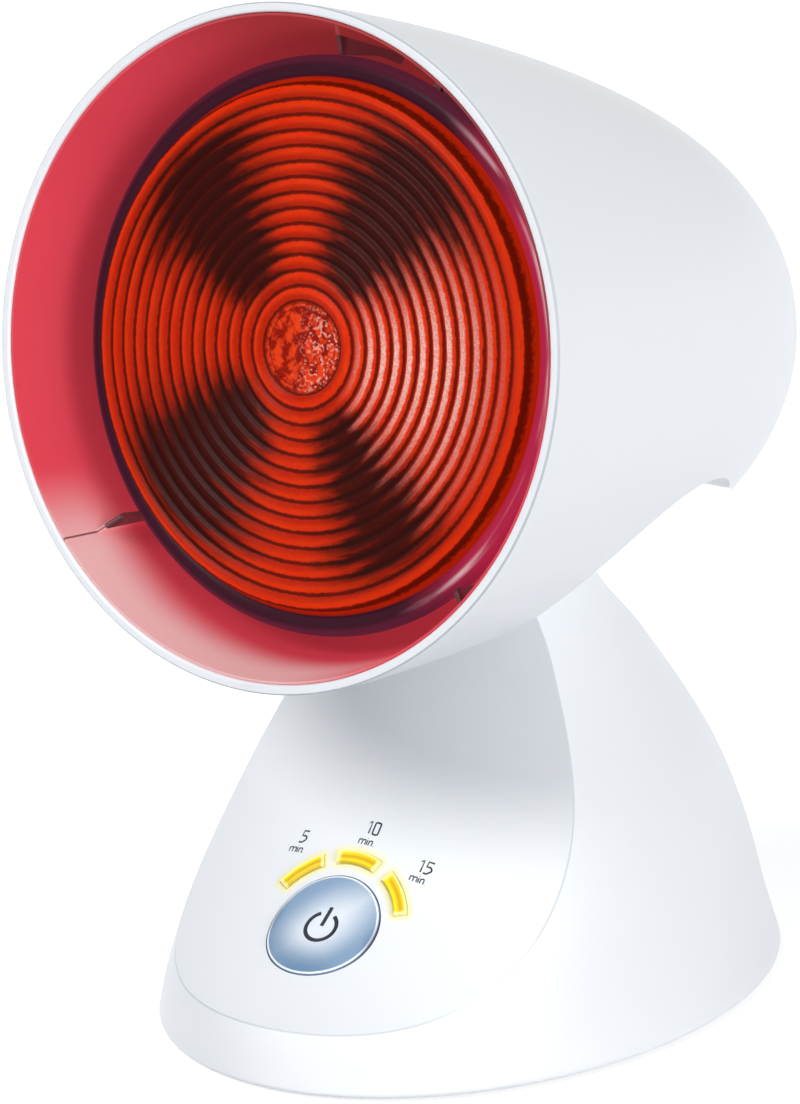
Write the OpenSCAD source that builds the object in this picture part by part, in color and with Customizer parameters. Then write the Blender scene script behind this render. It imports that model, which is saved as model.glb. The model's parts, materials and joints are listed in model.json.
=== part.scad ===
// Infrared heat lamp on a scooped foot: a deep round head tilts on a hidden pivot above the base.
// Millimetres. X is to the side, -Y is the front, Z is up, and Z = 0 is the table.

/* [Foot and dome] */
// Width of the foot
foot_w = 120; // [114:1:126]
// Depth of the foot, front to back
foot_d = 165.4; // [160:1:172]
// Height of the dome's outline before its top is rounded off
dome_h = 108; // [106:1:110]
// Wall of the base shell
base_wall = 2.5; // [2:0.1:3]
// Rounding of the foot's lower edge
foot_round = 1.5; // [0.5:0.1:2.5]
// How far the rubber feet hold the shell off the table
foot_gap = 1; // [0.6:0.1:1.6]

/* [Scooped front panel] */
// Centre of the scoop's arc, from the foot's centre
scoop_y = -119.1; // [-121:0.1:-118]
// Height of the scoop's arc centre
scoop_z = 113.8; // [113:0.1:115]
// Radius of the scoop along its middle line
scoop_r = 106.7; // [106:0.1:107.4]
// Radius of the panel's crown from side to side
crown_r = 119; // [110:1:130]

/* [Power button] */
// Slope of the panel at the button
panel_slope = 36.7; // [35:0.1:39]
// Radius of the button cap
button_r = 12.93; // [12:0.1:13.3]
// Gap around the button cap
button_gap = 0.3; // [0.2:0.05:0.4]
// How far the button stands proud of the panel
button_proud = 0.4; // [0.3:0.1:0.9]
// How far the button goes in
button_travel = 0.6; // [0.4:0.1:0.8]

/* [Timer windows] */
// Radius of the arc that the three windows lie on
window_arc_r = 17.45; // [17.1:0.05:18.5]
// Width of a window
window_w = 2.85; // [2.2:0.05:3]
// Angle that one window covers
window_span = 34.3; // [30:0.1:40]
// Angle between neighbouring windows
window_pitch = 45.9; // [44:0.1:50]
// How far the middle window sits to the side
window_shift = -0.3; // [-1:0.1:0]
// How far the windows stand proud of the panel
window_proud = 0.6; // [0.3:0.1:0.9]

/* [Head] */
// Radius of the head at its rim
head_r = 71.33; // [70.8:0.1:73]
// Length of the head from rim to back
head_len = 155.95; // [154:1:160]
// Wall of the head shell
head_wall = 2.1; // [1.8:0.1:2.4]
// Rounding of the rim's two edges
lip_r = 0.5; // [0.3:0.1:0.8]
// Tilt of the lamp's axis above level, as it stands
head_tilt = 10.73; // [9:0.1:12]
// Fullness of the head's outline towards its back
head_full_back = 1.18; // [1.15:0.01:1.22]
// Fullness of the head's outline towards its rim
head_full_rim = 3.48; // [3.4:0.01:3.6]

/* [Tilt pivot] */
// Distance of the pivot behind the foot's centre
pivot_y = 4.3; // [3.5:0.1:5]
// Height of the pivot
pivot_z = 70.6; // [70:0.1:71.5]
// Depth of the pivot behind the rim
pivot_depth = 91.6; // [90:0.1:93]
// Distance of the pivot below the lamp's axis
pivot_drop = 73.5; // [73:0.1:75]
// Radius of the saddle under the head, at its middle
saddle_r = 36.4; // [36:0.1:37]
// Growth of the saddle's radius out to its sides
saddle_rise = 14.4; // [14:0.1:16]
// Half width of the saddle's level middle
saddle_flat = 16; // [14:0.5:18]
// Half width at which the saddle's radius is full
saddle_w = 50; // [48:0.5:52]
// Slope of the trough behind the saddle, down to the head's back
trough_fall = 9.5; // [8:0.5:11]
// Distance of the keel's back end behind the pivot
keel_back = 27; // [26.8:0.1:29]
// Gap between the saddle and the dome's top
saddle_gap = 1; // [0.8:0.1:1.2]
// Largest tilt either way
tilt_range = 20; // [16:1:20]
// Angle from one stop position to the next
stop_step = 10; // [8:1:10]
// Radius of the pivot pin
pin_r = 4; // [3:0.1:4.5]
// Clearance of the pin in its bush
pin_fit = 0.05; // [0.03:0.01:0.08]
// Wall of the pivot bush
bush_wall = 1.5; // [1:0.1:2]
// Radius of the arm's hub
hub_r = 12; // [11:0.1:13]
// Width of the arm, side to side
arm_w = 12; // [11:0.5:13]
// Depth of the arm, front to back
arm_d = 14; // [12:0.5:15]
// Thickness of the pivot bracket's sheet
bracket_t = 1.5; // [1.2:0.1:2]
// Thickness of the friction washers
washer_t = 1.1; // [0.8:0.1:1.4]

/* [Bulb] */
// Radius of the bulb at its bead
bulb_r = 60.5; // [60:0.1:61]
// Overall length of the bulb
bulb_len = 126.5; // [125:0.5:128]
// Depth of the bead's middle behind the rim
bead_depth = 18.7; // [18:0.1:20]
// Radius of the bead
bead_r = 3; // [2.5:0.1:3.2]
// Radius of the ridged lens
lens_r = 54.6; // [54:0.1:55.5]
// Bulge of the lens over its edge
lens_bulge = 2.5; // [2:0.5:5]
// Number of ridges on the lens
lens_ridges = 17; // [14:1:18]
// Height of the lens ridges
ridge_h = 0.7; // [0.4:0.1:0.9]
// Thickness of the bulb's glass
glass_t = 2; // [1.6:0.1:2.4]
// Radius of the bulb's neck
neck_r = 16.5; // [16:0.1:18]
// Radius of the screw cap
cap_r = 13.1; // [12.9:0.05:13.2]
// Length of the screw cap
cap_len = 24; // [22:1:25]

/* [Inner shade] */
// Depth of the shade's front edge behind the rim
shade_mouth = 0.6; // [0.5:0.1:1.5]
// Wall of the inner shade
shade_wall = 1.5; // [1.2:0.1:1.8]
// Depth at which the inner shade ends
shade_len = 52; // [50:0.5:54]
// Thickness of a holding fin
fin_t = 1.2; // [1:0.1:1.8]
// Gap between the shade and the head's wall at the rim
shade_gap = 0.25; // [0.2:0.05:0.4]
// Angle of the two lower fins below level
fin_drop = 44.8; // [42:0.1:48]

/* [Lampholder] */
// Outer radius of the lampholder
holder_r = 19; // [18.5:0.1:20]
// Wall of the brass thread shell
thread_wall = 0.6; // [0.5:0.1:0.8]

/* [Underside and inlet] */
// Distance of the rubber feet in from the foot's sides
foot_inset_x = 33; // [32:0.5:36]
// Distance of the rubber feet in from the foot's ends
foot_inset_y = 26.7; // [26:0.1:30]
// Distance of the bottom screws in from the foot's sides
boss_inset_x = 20; // [19:0.5:22]
// Distance of the bottom screws in from the foot's ends
boss_inset_y = 38.7; // [36:0.1:42]
// Height of the mains inlet
inlet_z = 14; // [13:0.5:16]
// Distance of the inlet's face in front of the foot's back end
inlet_inset = 1.2; // [1:0.1:2]
// Length of the inlet's collar
inlet_len = 14; // [12:0.5:15]

/* [Small parts] */
// Radius of a self-tapping screw's shank
screw_r = 1.45; // [1.3:0.05:1.6]
// Clearance around a screw in its hole
screw_fit = 0.05; // [0.03:0.01:0.1]
// Radius of a screw's head
screw_head_r = 2.8; // [2.6:0.1:3]
// Radius of a screw boss
boss_r = 3.6; // [3.4:0.1:4]
// Radius of a rubber foot
rubber_r = 7; // [6:0.5:8]
// Thickness of the bottom plate
plate_t = 2.5; // [2:0.1:3]
// Radius of the mains lead that the inlet bush takes
lead_r = 3.2; // [2.8:0.1:3.5]
// Thickness of the control board
board_t = 1.6; // [1.4:0.1:1.8]
// Radius of an internal lead
wire_r = 1; // [0.8:0.1:1.2]

/* [Hidden] */
$fn = 96;
eps = 0.01;
// Dome outline: share of the height, of the half width and of the half depth, then the middle's shift
dome_stations = [[0, 1, 1, 0], [0.111, 0.942, 0.967, -1.1], [0.278, 0.878, 0.871, 0.1],
  [0.463, 0.768, 0.739, 0.8], [0.694, 0.558, 0.553, -1.9], [0.806, 0.45, 0.447, -4.5],
  [1, 0.233, 0.29, -3]];
// Wall of the base shell measured level, as its sides slope
wall_across = base_wall * 1.15;
dome_rings = 15;
dome_sides = 48;
// Angles about the pivot between which the dome's top keeps clear of the head
stop_ledge_low = 8;
stop_ledge_high = 172;
cut_reach = 95;
button_y = scoop_y + scoop_r * sin(panel_slope);
button_z = scoop_z - scoop_r * cos(panel_slope);
collar_wall = 1.6;
collar_low = -6.5;
flange_out = 1.1;
flange_t = 0.8;
board_n = -13;
board_half_w = 30;
board_low = -14;
board_high = 34;
board_post_x = 24;
board_post_low = -9;
board_post_high = 28;
switch_w = 6.2;
switch_h = 3.5;
plunger_r = 1.75;
plunger_up = 1.4;
plate_z = foot_gap + 1;
plate_gap = 0.3;
bottom_boss = [foot_w / 2 - boss_inset_x, foot_d / 2 - boss_inset_y];
foot_at = [foot_w / 2 - foot_inset_x, foot_d / 2 - foot_inset_y];
inlet_face = foot_d / 2 - inlet_inset;
inlet_collar_r = 8.5;
inlet_body_r = 5.5;
inlet_flange = 3.9;
washer_r = 9;
washer_fit = 0.05;
hub_half = arm_w / 2;
ear_in = hub_half + washer_t + 2 * washer_fit;
ear_out = ear_in + bracket_t;
ear_half = 9;
bracket_top = 17.5;
bracket_web = 17;
bracket_side = 19;
bracket_screw_x = 14;
slot_gap = 0.6;
notch_r = 1;
leaf_t = 0.6;
leaf_half = 3;
leaf_low = -bracket_web + bracket_t;
leaf_screw_y = ear_half - 3.5;
// Distance of the notches and of the bump from the pivot, and the bump's place as the head stands
bump_reach = hub_r + notch_r * 0.1;
bump_y = -bump_reach * sin(head_tilt);
bump_z = -bump_reach * cos(head_tilt);
flange_u = -32.5;
arm_plate_t = 3;
arm_plate_half = 19;
arm_plate_back = 24.5;
arm_screw_x = 14;
arm_screw_back = 18.5;
arm_screw_front = -1.6;
cap_start = bead_depth - 5.7 - lens_bulge + bulb_len - cap_len - 3;
cap_end = cap_start + cap_len;
insulator_len = 2;
contact_len = 1;
lens_edge = bead_depth - 5.75;
thread_r = cap_r + 0.25;
holder_bore = thread_r + thread_wall + 0.05;
holder_start = cap_start + 2;
holder_floor = cap_end + insulator_len + contact_len + 1;
holder_end = holder_floor + 3;
holder_plate_half = 13;
holder_strip_u = -23.5;
holder_upright = 34;
step_depth = 114;
lead_slot_half = 3.4;
filament_r = 7;
filament_depth = 72;
holder_screw_x = 9;
shade_screw_r = 52.5;
shade_screw_angles = [90, 200, 340];
channel_w = 6;
channel_d = 8;
lead_exit_up = 16.5;
lead_side = 1.4;

// ---- shapes shared by several pieces ----

// Monotone blend through the dome's stations
function station_of(h, i = 0) =
  i >= len(dome_stations) - 2 || h < dome_stations[i + 1][0] ? i : station_of(h, i + 1);
function slope_at(i, c) = let (n = len(dome_stations) - 1, a = max(i - 1, 0), b = min(i + 1, n))
  (dome_stations[b][c] - dome_stations[a][c]) / (dome_stations[b][0] - dome_stations[a][0]);
function dome_at(h, c) = let (i = station_of(h), p = dome_stations[i], q = dome_stations[i + 1],
  w = q[0] - p[0], t = (h - p[0]) / w)
  p[c] * (2 * t ^ 3 - 3 * t ^ 2 + 1) + q[c] * (3 * t ^ 2 - 2 * t ^ 3)
  + slope_at(i, c) * w * (t ^ 3 - 2 * t ^ 2 + t) + slope_at(i + 1, c) * w * (t ^ 3 - t ^ 2);
function corner_in(z) = z < foot_round ? foot_round - sqrt(foot_round ^ 2 - (foot_round - z) ^ 2) : 0;
function dome_ring(z, inset) = let (h = z / dome_h, in = inset + corner_in(z),
  a = foot_w / 2 * dome_at(h, 1) - in, b = foot_d / 2 * dome_at(h, 2) - in, m = dome_at(h, 3))
  [for (k = [0:dome_sides - 1]) let (t = 360 * k / dome_sides) [a * cos(t), m + b * sin(t), z + foot_gap]];
function dome_levels() = concat([0, foot_round * 0.3, foot_round],
  [for (i = [1:dome_rings]) foot_round + (dome_h - foot_round) * i / dome_rings]);

module loft(rings) {
  n = len(rings[0]);
  last = len(rings) - 1;
  polyhedron(
    points = [for (r = rings) for (p = r) p],
    faces = concat(
      [[for (k = [0:n - 1]) k]],
      [[for (k = [n - 1:-1:0]) last * n + k]],
      [for (j = [0:last - 1]) for (k = [0:n - 1]) [j * n + k, (j + 1) * n + k, (j + 1) * n + (k + 1) % n]],
      [for (j = [0:last - 1]) for (k = [0:n - 1]) [j * n + k, (j + 1) * n + (k + 1) % n,
          j * n + (k + 1) % n]]));
}

module dome(inset, drop) {
  translate([0, 0, -drop]) loft([for (z = dome_levels()) dome_ring(z, inset)]);
}

// The round cutter that scoops out the front panel; its radius grows to the sides
module scoop(proud) {
  translate([0, scoop_y, scoop_z]) rotate([0, 90, 0]) rotate_extrude($fn = 180) difference() {
    translate([0, -foot_w / 2]) square([scoop_r + 20, foot_w]);
    translate([scoop_r - proud + crown_r, 0]) circle(crown_r, $fn = 360);
  }
}

function saddle_at(x) = saddle_r
  + saddle_rise * sin(90 * min(1, max(0, (abs(x) - saddle_flat) / (saddle_w - saddle_flat)))) ^ 2;
function saddle_points(extra) = [for (i = [-10:10]) if (i != 0)
  let (x = sign(i) * (saddle_flat + (saddle_w - saddle_flat) * (abs(i) - 1) / 9)) [x,
      saddle_at(x) + extra]];

// Body of revolution about the pivot: the space under the head's saddle
module spool(extra, half) {
  translate([0, pivot_y, pivot_z]) rotate([0, 90, 0]) rotate_extrude() polygon(concat(
    [[0, -half], [saddle_r + saddle_rise + extra, -half]],
    [for (p = saddle_points(extra)) [p[1], p[0]]],
    [[saddle_r + saddle_rise + extra, half], [0, half]]));
}

// The saddle runs on to the head's back as a straight trough, above the keel's end over its full width
module trough(extra, half) {
  full = saddle_r + saddle_rise + extra;
  on_pivot() rotate([-trough_fall, 0, 0]) {
    rotate([90, 0, 180]) linear_extrude(head_len) polygon(concat(
      [[-half, 0], [-half, full]], saddle_points(extra), [[half, full], [half, 0]]));
    translate([-half, keel_back - extra, 0]) cube([2 * half, head_len, full]);
  }
}

// What is cut off the dome so that its top follows the saddle, with a ledge at the back
module dome_cap_cut(inset) {
  difference() {
    translate([-foot_w / 2, pivot_y, pivot_z - inset]) rotate([90, 0, 90]) linear_extrude(foot_w)
      polygon([[0, 0], cut_reach * [cos(stop_ledge_low), sin(stop_ledge_low)], [cut_reach, cut_reach],
        [-cut_reach, cut_reach], cut_reach * [cos(stop_ledge_high), sin(stop_ledge_high)]]);
    spool(-saddle_gap - inset, foot_w / 2);
  }
}

// Frame of the panel at the button: X across, Y up the slope, Z out of the panel
module on_panel() {
  translate([0, button_y, button_z]) rotate([panel_slope, 0, 0]) children();
}

// Frame of the head: X across, Y back along the lamp's axis from the rim, Z up
module on_head() {
  translate([0, pivot_y, pivot_z]) rotate([-head_tilt, 0, 0]) translate([0, -pivot_depth, pivot_drop])
    children();
}

// Frame of the pivot, turned with the head
module on_pivot() {
  translate([0, pivot_y, pivot_z]) rotate([-head_tilt, 0, 0]) children();
}

module lathe(points) {
  rotate([-90, 0, 0]) rotate_extrude() polygon(points);
}

module along_x(r, half) {
  rotate([0, 90, 0]) cylinder(r = r, h = 2 * half, center = true);
}

module screw(len) {
  difference() {
    union() {
      cylinder(r = screw_r, h = len);
      translate([0, 0, -1.8]) cylinder(r = screw_head_r, h = 1.8);
    }
    for (a = [0, 90]) rotate([0, 0, a]) translate([-1.5, -0.3, -1.8 - eps]) cube([3, 0.6, 1]);
  }
}

module screw_hole(len) {
  translate([0, 0, -eps]) cylinder(r = screw_r + screw_fit, h = len + eps);
}

// ---- base ----

module inlet_collar(r, back, front) {
  translate([0, back, inlet_z]) rotate([-90, 0, 0]) cylinder(r = r, h = front - back);
}

module window_bar(i, gap, low, high) {
  step = (i - 1) * window_pitch;
  half = window_span / 2 + gap / window_arc_r * 180 / PI;
  far = 2 * window_arc_r;
  translate([i == 1 ? window_shift : 0, 0, low]) linear_extrude(high - low) intersection() {
    difference() {
      circle(window_arc_r + window_w / 2 + gap);
      circle(window_arc_r - window_w / 2 - gap);
    }
    polygon([[0, 0], far * [sin(step - half), cos(step - half)], far * [sin(step), cos(step)] * 1.1,
      far * [sin(step + half), cos(step + half)]]);
  }
}

module base_posts() {
  on_panel() {
    translate([0, 0, collar_low]) cylinder(r = button_r + button_gap + collar_wall, h = 12);
    for (x = [-1, 1]) for (y = [board_post_low, board_post_high])
      translate([x * board_post_x, y, board_n]) cylinder(r = boss_r, h = 25);
  }
  for (x = [-1, 1]) {
    for (y = [-1, 1])
      translate([x * bottom_boss[0], y * bottom_boss[1], plate_z + plate_t]) cylinder(r = boss_r, h = 40);
    translate([x * bracket_screw_x, pivot_y,
        pivot_z + bracket_top + bracket_t]) cylinder(r = boss_r, h = 30);
  }
  inlet_collar(inlet_collar_r, inlet_face - inlet_len, inlet_face);
}

module base_shell() color("whitesmoke") difference() {
  union() {
    difference() {
      dome(0, 0);
      scoop(0);
      dome_cap_cut(0);
    }
    inlet_collar(inlet_collar_r, inlet_face - inlet_len, inlet_face);
  }
  difference() {
    dome(wall_across, 1);
    scoop(-base_wall);
    dome_cap_cut(base_wall);
    base_posts();
  }
  inlet_collar(inlet_body_r, inlet_face - 20, inlet_face + eps);
  on_panel() {
    translate([0, 0, -20]) cylinder(r = button_r + button_gap, h = 40);
    for (i = [0:2]) window_bar(i, 0.1, -20, 10);
    for (x = [-1, 1]) for (y = [board_post_low, board_post_high])
      translate([x * board_post_x, y, board_n]) screw_hole(5);
  }
  for (x = [-1, 1]) {
    for (y = [-1, 1]) translate([x * bottom_boss[0], y * bottom_boss[1], plate_z + plate_t]) screw_hole(9);
    translate([x * bracket_screw_x, pivot_y, pivot_z + bracket_top + bracket_t]) screw_hole(6);
  }
  arm_slot();
}

// Slot in the dome's top that the arm swings in
module arm_slot() {
  reach = asin(arm_d / 2 / (saddle_r - 5)) + tilt_range + 3;
  half = hub_half + slot_gap;
  up = 90 - head_tilt;
  translate([-half, pivot_y, pivot_z]) rotate([90, 0, 90]) linear_extrude(2 * half)
    polygon([20 * [cos(up - reach), sin(up - reach)], 60 * [cos(up - reach), sin(up - reach)],
      70 * [cos(up), sin(up)], 60 * [cos(up + reach), sin(up + reach)],
      20 * [cos(up + reach), sin(up + reach)]]);
}

// Outline of the dome at height z above the foot
module oval(z, inset) {
  polygon([for (p = dome_ring(z, inset)) [p[0], p[1]]]);
}

module bottom_plate() color("gainsboro") difference() {
  translate([0, 0, plate_z]) linear_extrude(plate_t) oval(plate_z - foot_gap + plate_t + 1,
      wall_across + plate_gap);
  for (x = [-1, 1]) for (y = [-1, 1]) {
    translate([x * foot_at[0], y * foot_at[1], plate_z - eps]) cylinder(r = rubber_r + 0.1, h = 1.2 + eps);
    translate([x * bottom_boss[0], y * bottom_boss[1], plate_z - eps]) {
      cylinder(r = screw_r + 0.3, h = plate_t + 1);
      cylinder(r = screw_head_r + 0.2, h = 1.2 + eps);
    }
  }
  for (i = [-3:3]) translate([i * 8 - 1.2, -14, plate_z - eps]) cube([2.4, 28, plate_t + 1]);
}

module rubber_feet() color("dimgray") for (x = [-1, 1]) for (y = [-1, 1])
  translate([x * foot_at[0], y * foot_at[1], 0]) {
    cylinder(r1 = rubber_r - 0.8, r2 = rubber_r, h = 0.8);
    translate([0, 0, 0.8]) cylinder(r = rubber_r, h = plate_z + 0.4);
  }

module bottom_screws() color("silver") for (x = [-1, 1]) for (y = [-1, 1])
  translate([x * bottom_boss[0], y * bottom_boss[1], plate_z + 1.2]) intersection() {
    screw(9);
    translate([0, 0, -0.9]) cylinder(r = 10, h = 20);
  }

module cord_bush() color("whitesmoke") difference() {
  union() {
    inlet_collar(inlet_body_r, inlet_face - inlet_len - 2, inlet_face + eps);
    inlet_collar(inlet_collar_r - 1.5, inlet_face, inlet_face + inlet_flange);
    inlet_collar(inlet_body_r + 1, inlet_face - inlet_len - 2, inlet_face - inlet_len - 0.1);
  }
  inlet_collar(lead_r, inlet_face - 20, inlet_face + 20);
}

// ---- pivot ----

module pivot_bracket() color("silver") translate([0, pivot_y, pivot_z]) difference() {
  union() {
    for (s = [-1, 1]) {
      translate([s * (ear_in + bracket_t / 2) - bracket_t / 2, -ear_half, -bracket_web])
        cube([bracket_t, 2 * ear_half, bracket_web + bracket_top + bracket_t]);
      translate([s > 0 ? ear_in : -bracket_side, -7, bracket_top])
        cube([bracket_side - ear_in, 14, bracket_t]);
    }
    translate([-ear_out, -ear_half, -bracket_web]) cube([2 * ear_out, 2 * ear_half, bracket_t]);
  }
  along_x(pin_r, ear_out + 1);
  for (s = [-1, 1]) translate([s * bracket_screw_x, 0, 0]) cylinder(r = screw_r + 0.1, h = 40);
  translate([0, leaf_screw_y, -bracket_web - 1]) cylinder(r = screw_r + screw_fit, h = 4);
}

module bracket_screws() color("silver") for (s = [-1, 1])
  translate([s * bracket_screw_x, pivot_y, pivot_z + bracket_top]) screw(7);

module pivot_pin() color("silver") translate([0, pivot_y, pivot_z]) difference() {
  union() {
    along_x(pin_r, ear_out + 3);
    translate([-ear_out - 3, 0, 0]) rotate([0, 90, 0]) cylinder(r = pin_r + 2, h = 3);
  }
  translate([ear_out + 0.2, 0, 0]) rotate([0, 90, 0]) difference() {
    cylinder(r = pin_r + 2, h = 1);
    translate([0, 0, -1]) cylinder(r = pin_r - 0.6, h = 4);
  }
}

module pivot_clip() color("dimgray") translate([ear_out + 0.25, pivot_y, pivot_z]) rotate([0, 90, 0])
  difference() {
    cylinder(r = pin_r + 2.4, h = 0.9);
    translate([0, 0, -1]) cylinder(r = pin_r - 0.55, h = 3);
    translate([-8, -1.6, -1]) cube([8, 3.2, 3]);
  }

module friction_washers() color("gray") for (s = [-1, 1])
  translate([s * (hub_half + washer_fit + washer_t / 2), pivot_y, pivot_z]) difference() {
    along_x(washer_r, washer_t / 2);
    along_x(pin_r + 0.1, washer_t);
  }

// Leaf spring on the bracket's web, with a bump that rests in one of the hub's notches
module detent_spring() color("silver") difference() {
  union() {
    translate([-leaf_half, pivot_y, pivot_z]) rotate([90, 0, 90]) linear_extrude(2 * leaf_half)
      polygon([[ear_half - 0.5, leaf_low], [ear_half - 0.5, leaf_low + leaf_t], [2.3, leaf_low + leaf_t],
        [bump_y + 1.2, bump_z - 0.5], [bump_y - 1.2, bump_z - 0.5], [-6.4, leaf_low + 1.6],
        [-6.2, leaf_low + 1.1], [bump_y - 1, bump_z - 1.1], [bump_y + 1, bump_z - 1.1], [2, leaf_low]]);
    on_pivot() translate([0, 0, -bump_reach]) along_x(notch_r - 0.08, leaf_half);
  }
  translate([0, pivot_y + leaf_screw_y, pivot_z + leaf_low - 1]) cylinder(r = screw_r + screw_fit, h = 3);
}

module detent_screw() color("silver")
  translate([0, pivot_y + leaf_screw_y, pivot_z + leaf_low + leaf_t])
    mirror([0, 0, 1]) screw(4);

// ---- control board under the panel ----

module control_board() color("darkgreen") on_panel() difference() {
  translate([-board_half_w, board_low, board_n - board_t])
    cube([2 * board_half_w, board_high - board_low, board_t]);
  for (x = [-1, 1]) for (y = [board_post_low, board_post_high])
    translate([x * board_post_x, y, board_n - 5]) cylinder(r = screw_r + 0.2, h = 10);
}

module board_screws() color("silver") on_panel() for (x = [-1, 1]) for (y = [board_post_low,
    board_post_high])
  translate([x * board_post_x, y, board_n - board_t]) screw(6);

module switch_body() color("dimgray") on_panel() difference() {
  translate([-switch_w / 2, -switch_w / 2, board_n]) cube([switch_w, switch_w, switch_h]);
  translate([0, 0, board_n + 1.2]) cylinder(r = plunger_r + 0.08, h = switch_h);
}

module switch_plunger() color("black") on_panel()
  translate([0, 0, board_n + 1.2 + button_travel + 0.1])
    cylinder(r = plunger_r, h = switch_h - 1.3 - button_travel + plunger_up);

module board_block(x, y, w, d, h) {
  on_panel() translate([x, y, board_n - board_t - h]) cube([w, d, h]);
}

module relay() color("steelblue") board_block(-20, 8, 16, 14, 12);
module capacitor() color("goldenrod") board_block(3, 8, 17, 9, 13);
module fuse() color("peru") on_panel() translate([0, -6, board_n - board_t - 2.6]) along_x(2.6, 10);

module terminal_block() color("seagreen") difference() {
  board_block(-8, 24, 16, 9, 10);
  on_panel() for (s = [-1, 1]) translate([s * 4, 34, board_n - board_t - 5]) rotate([90, 0, 0])
    cylinder(r = wire_r + 0.4, h = 6);
}

module indicator_led(i) {
  step = (i - 1) * window_pitch;
  color("gold") on_panel()
    translate([(i == 1 ? window_shift : 0) + window_arc_r * sin(step), window_arc_r * cos(step), board_n]) {
      cylinder(r = 1.5, h = 1.6);
      translate([0, 0, 1.6]) sphere(1.5, $fn = 32);
    }
}
module indicator_led_5() indicator_led(0);
module indicator_led_10() indicator_led(1);
module indicator_led_15() indicator_led(2);

// Light guide through the panel; its top follows the scoop
module timer_window(i) color("yellow") difference() {
  on_panel() window_bar(i, 0, board_n + 3.4, 6);
  scoop(window_proud);
}
module timer_window_5() timer_window(0);
module timer_window_10() timer_window(1);
module timer_window_15() timer_window(2);

module power_button() color("lightsteelblue") difference() {
  on_panel() difference() {
    union() {
      translate([0, 0, collar_low - flange_t]) cylinder(r = button_r, h = flange_t + 5 - collar_low);
      translate([0, 0, collar_low - 0.1 - flange_t]) cylinder(r = button_r + flange_out, h = flange_t);
    }
    difference() {
      translate([0, 0, collar_low - 2]) cylinder(r = button_r - 1.6, h = 2 - collar_low - 2.2);
      translate([0, 0, collar_low - 4]) cylinder(r = 2.6, h = 20);
    }
  }
  scoop(button_proud);
  on_panel() translate([0, 0, -30]) cylinder(r = 2.61, h = 30 + board_n + switch_h + plunger_up);
}

function unit(v) = v / norm(v);
// Round lead swept through the points, mitred at each bend; its run never lies along X
module wire(points) {
  sides = 12;
  last = len(points) - 1;
  loft([for (i = [0:last]) let (
    before = unit(points[max(i, 1)] - points[max(i, 1) - 1]),
    after = unit(points[min(i, last - 1) + 1] - points[min(i, last - 1)]),
    run = unit(before + after),
    up = unit(cross(run, [1, 0, 0])),
    side = unit(cross(up, run)),
    stretch = 1 / (run * before))
    [for (k = [0:sides - 1]) points[i] + wire_r * (cos(360 * k / sides) * side
      + stretch * sin(360 * k / sides) * up)]]);
}

// ---- head ----

function bullet(inset, front) = [for (t = [90:-3:0])
  let (depth = (head_len - inset) * cos(t) ^ (2 / head_full_back)) if (depth > front)
  [(head_r - inset) * sin(t) ^ (2 / head_full_rim), depth]];

module bullet_solid(inset) {
  lathe(concat([[0, 0], [head_r - inset, 0]], bullet(inset, 0)));
}

module head_bosses() {
  for (a = shade_screw_angles) translate([shade_screw_r * cos(a), shade_len + shade_wall,
      shade_screw_r * sin(a)])
    rotate([-90, 0, 0]) cylinder(r = boss_r, h = 60);
  for (x = [-1, 1]) for (y = [arm_screw_front, arm_screw_back])
    translate([x * arm_screw_x, pivot_depth + y, flange_u]) mirror([0, 0, 1]) cylinder(r = boss_r, h = 30);
}

// Wall of the head in one outline: rounded rim, outside to the back, and inside to the rim again
module bullet_wall() {
  inner = bullet(head_wall, lip_r);
  lathe(concat([for (a = [180:-30:90]) [head_r - head_wall + lip_r + lip_r * cos(a), lip_r * (1 - sin(a))]],
    [for (a = [90:-30:30]) [head_r - lip_r + lip_r * cos(a), lip_r * (1 - sin(a))]],
    bullet(0, lip_r), [for (i = [len(inner) - 1:-1:0]) inner[i]]));
}

module head_shell() color("white") difference() {
  union() {
    on_head() bullet_wall();
    intersection() {
      on_head() bullet_solid(head_wall / 2);
      union() {
        spool(head_wall, head_r + 5);
        trough(head_wall, head_r + 5);
        on_head() head_bosses();
      }
    }
  }
  spool(0, head_r + 6);
  trough(0, head_r + 6);
  on_head() {
    translate([-hub_half - 0.15, pivot_depth - arm_d / 2 - 0.15, -pivot_drop])
      cube([arm_w + 0.3, arm_d + 0.3, pivot_drop + flange_u + 1]);
    for (a = shade_screw_angles) translate([shade_screw_r * cos(a), shade_len + shade_wall,
        shade_screw_r * sin(a)])
      rotate([-90, 0, 0]) screw_hole(8);
    for (x = [-1, 1]) for (y = [arm_screw_front, arm_screw_back])
      translate([x * arm_screw_x, pivot_depth + y, flange_u]) mirror([0, 0, 1]) screw_hole(3);
  }
}

// Liner in front of and around the bulb: [radius, depth] inside, and again outside
shade_in = [[head_r - head_wall - 0.7, shade_mouth], [head_r - 5.9, 20], [head_r - 11.3, 40],
  [head_r - 15.5, shade_len], [48.5, shade_len]];
shade_out = [[48.5, shade_len + shade_wall], [head_r - 14, shade_len + shade_wall],
  [head_r - 9.6, 40], [head_r - 4.3, 20], [head_r - head_wall - shade_gap, 3.5],
  [head_r - head_wall - shade_gap, shade_mouth]];
// Outline of a fin beside the bulb's bead: [radius, depth]
fin_shape = [[head_r - 3.4, 9.5], [64, 11], [60.9, 12], [60.75, 13], [60.75, 26], [59, 34], [62, 36]];

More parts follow.
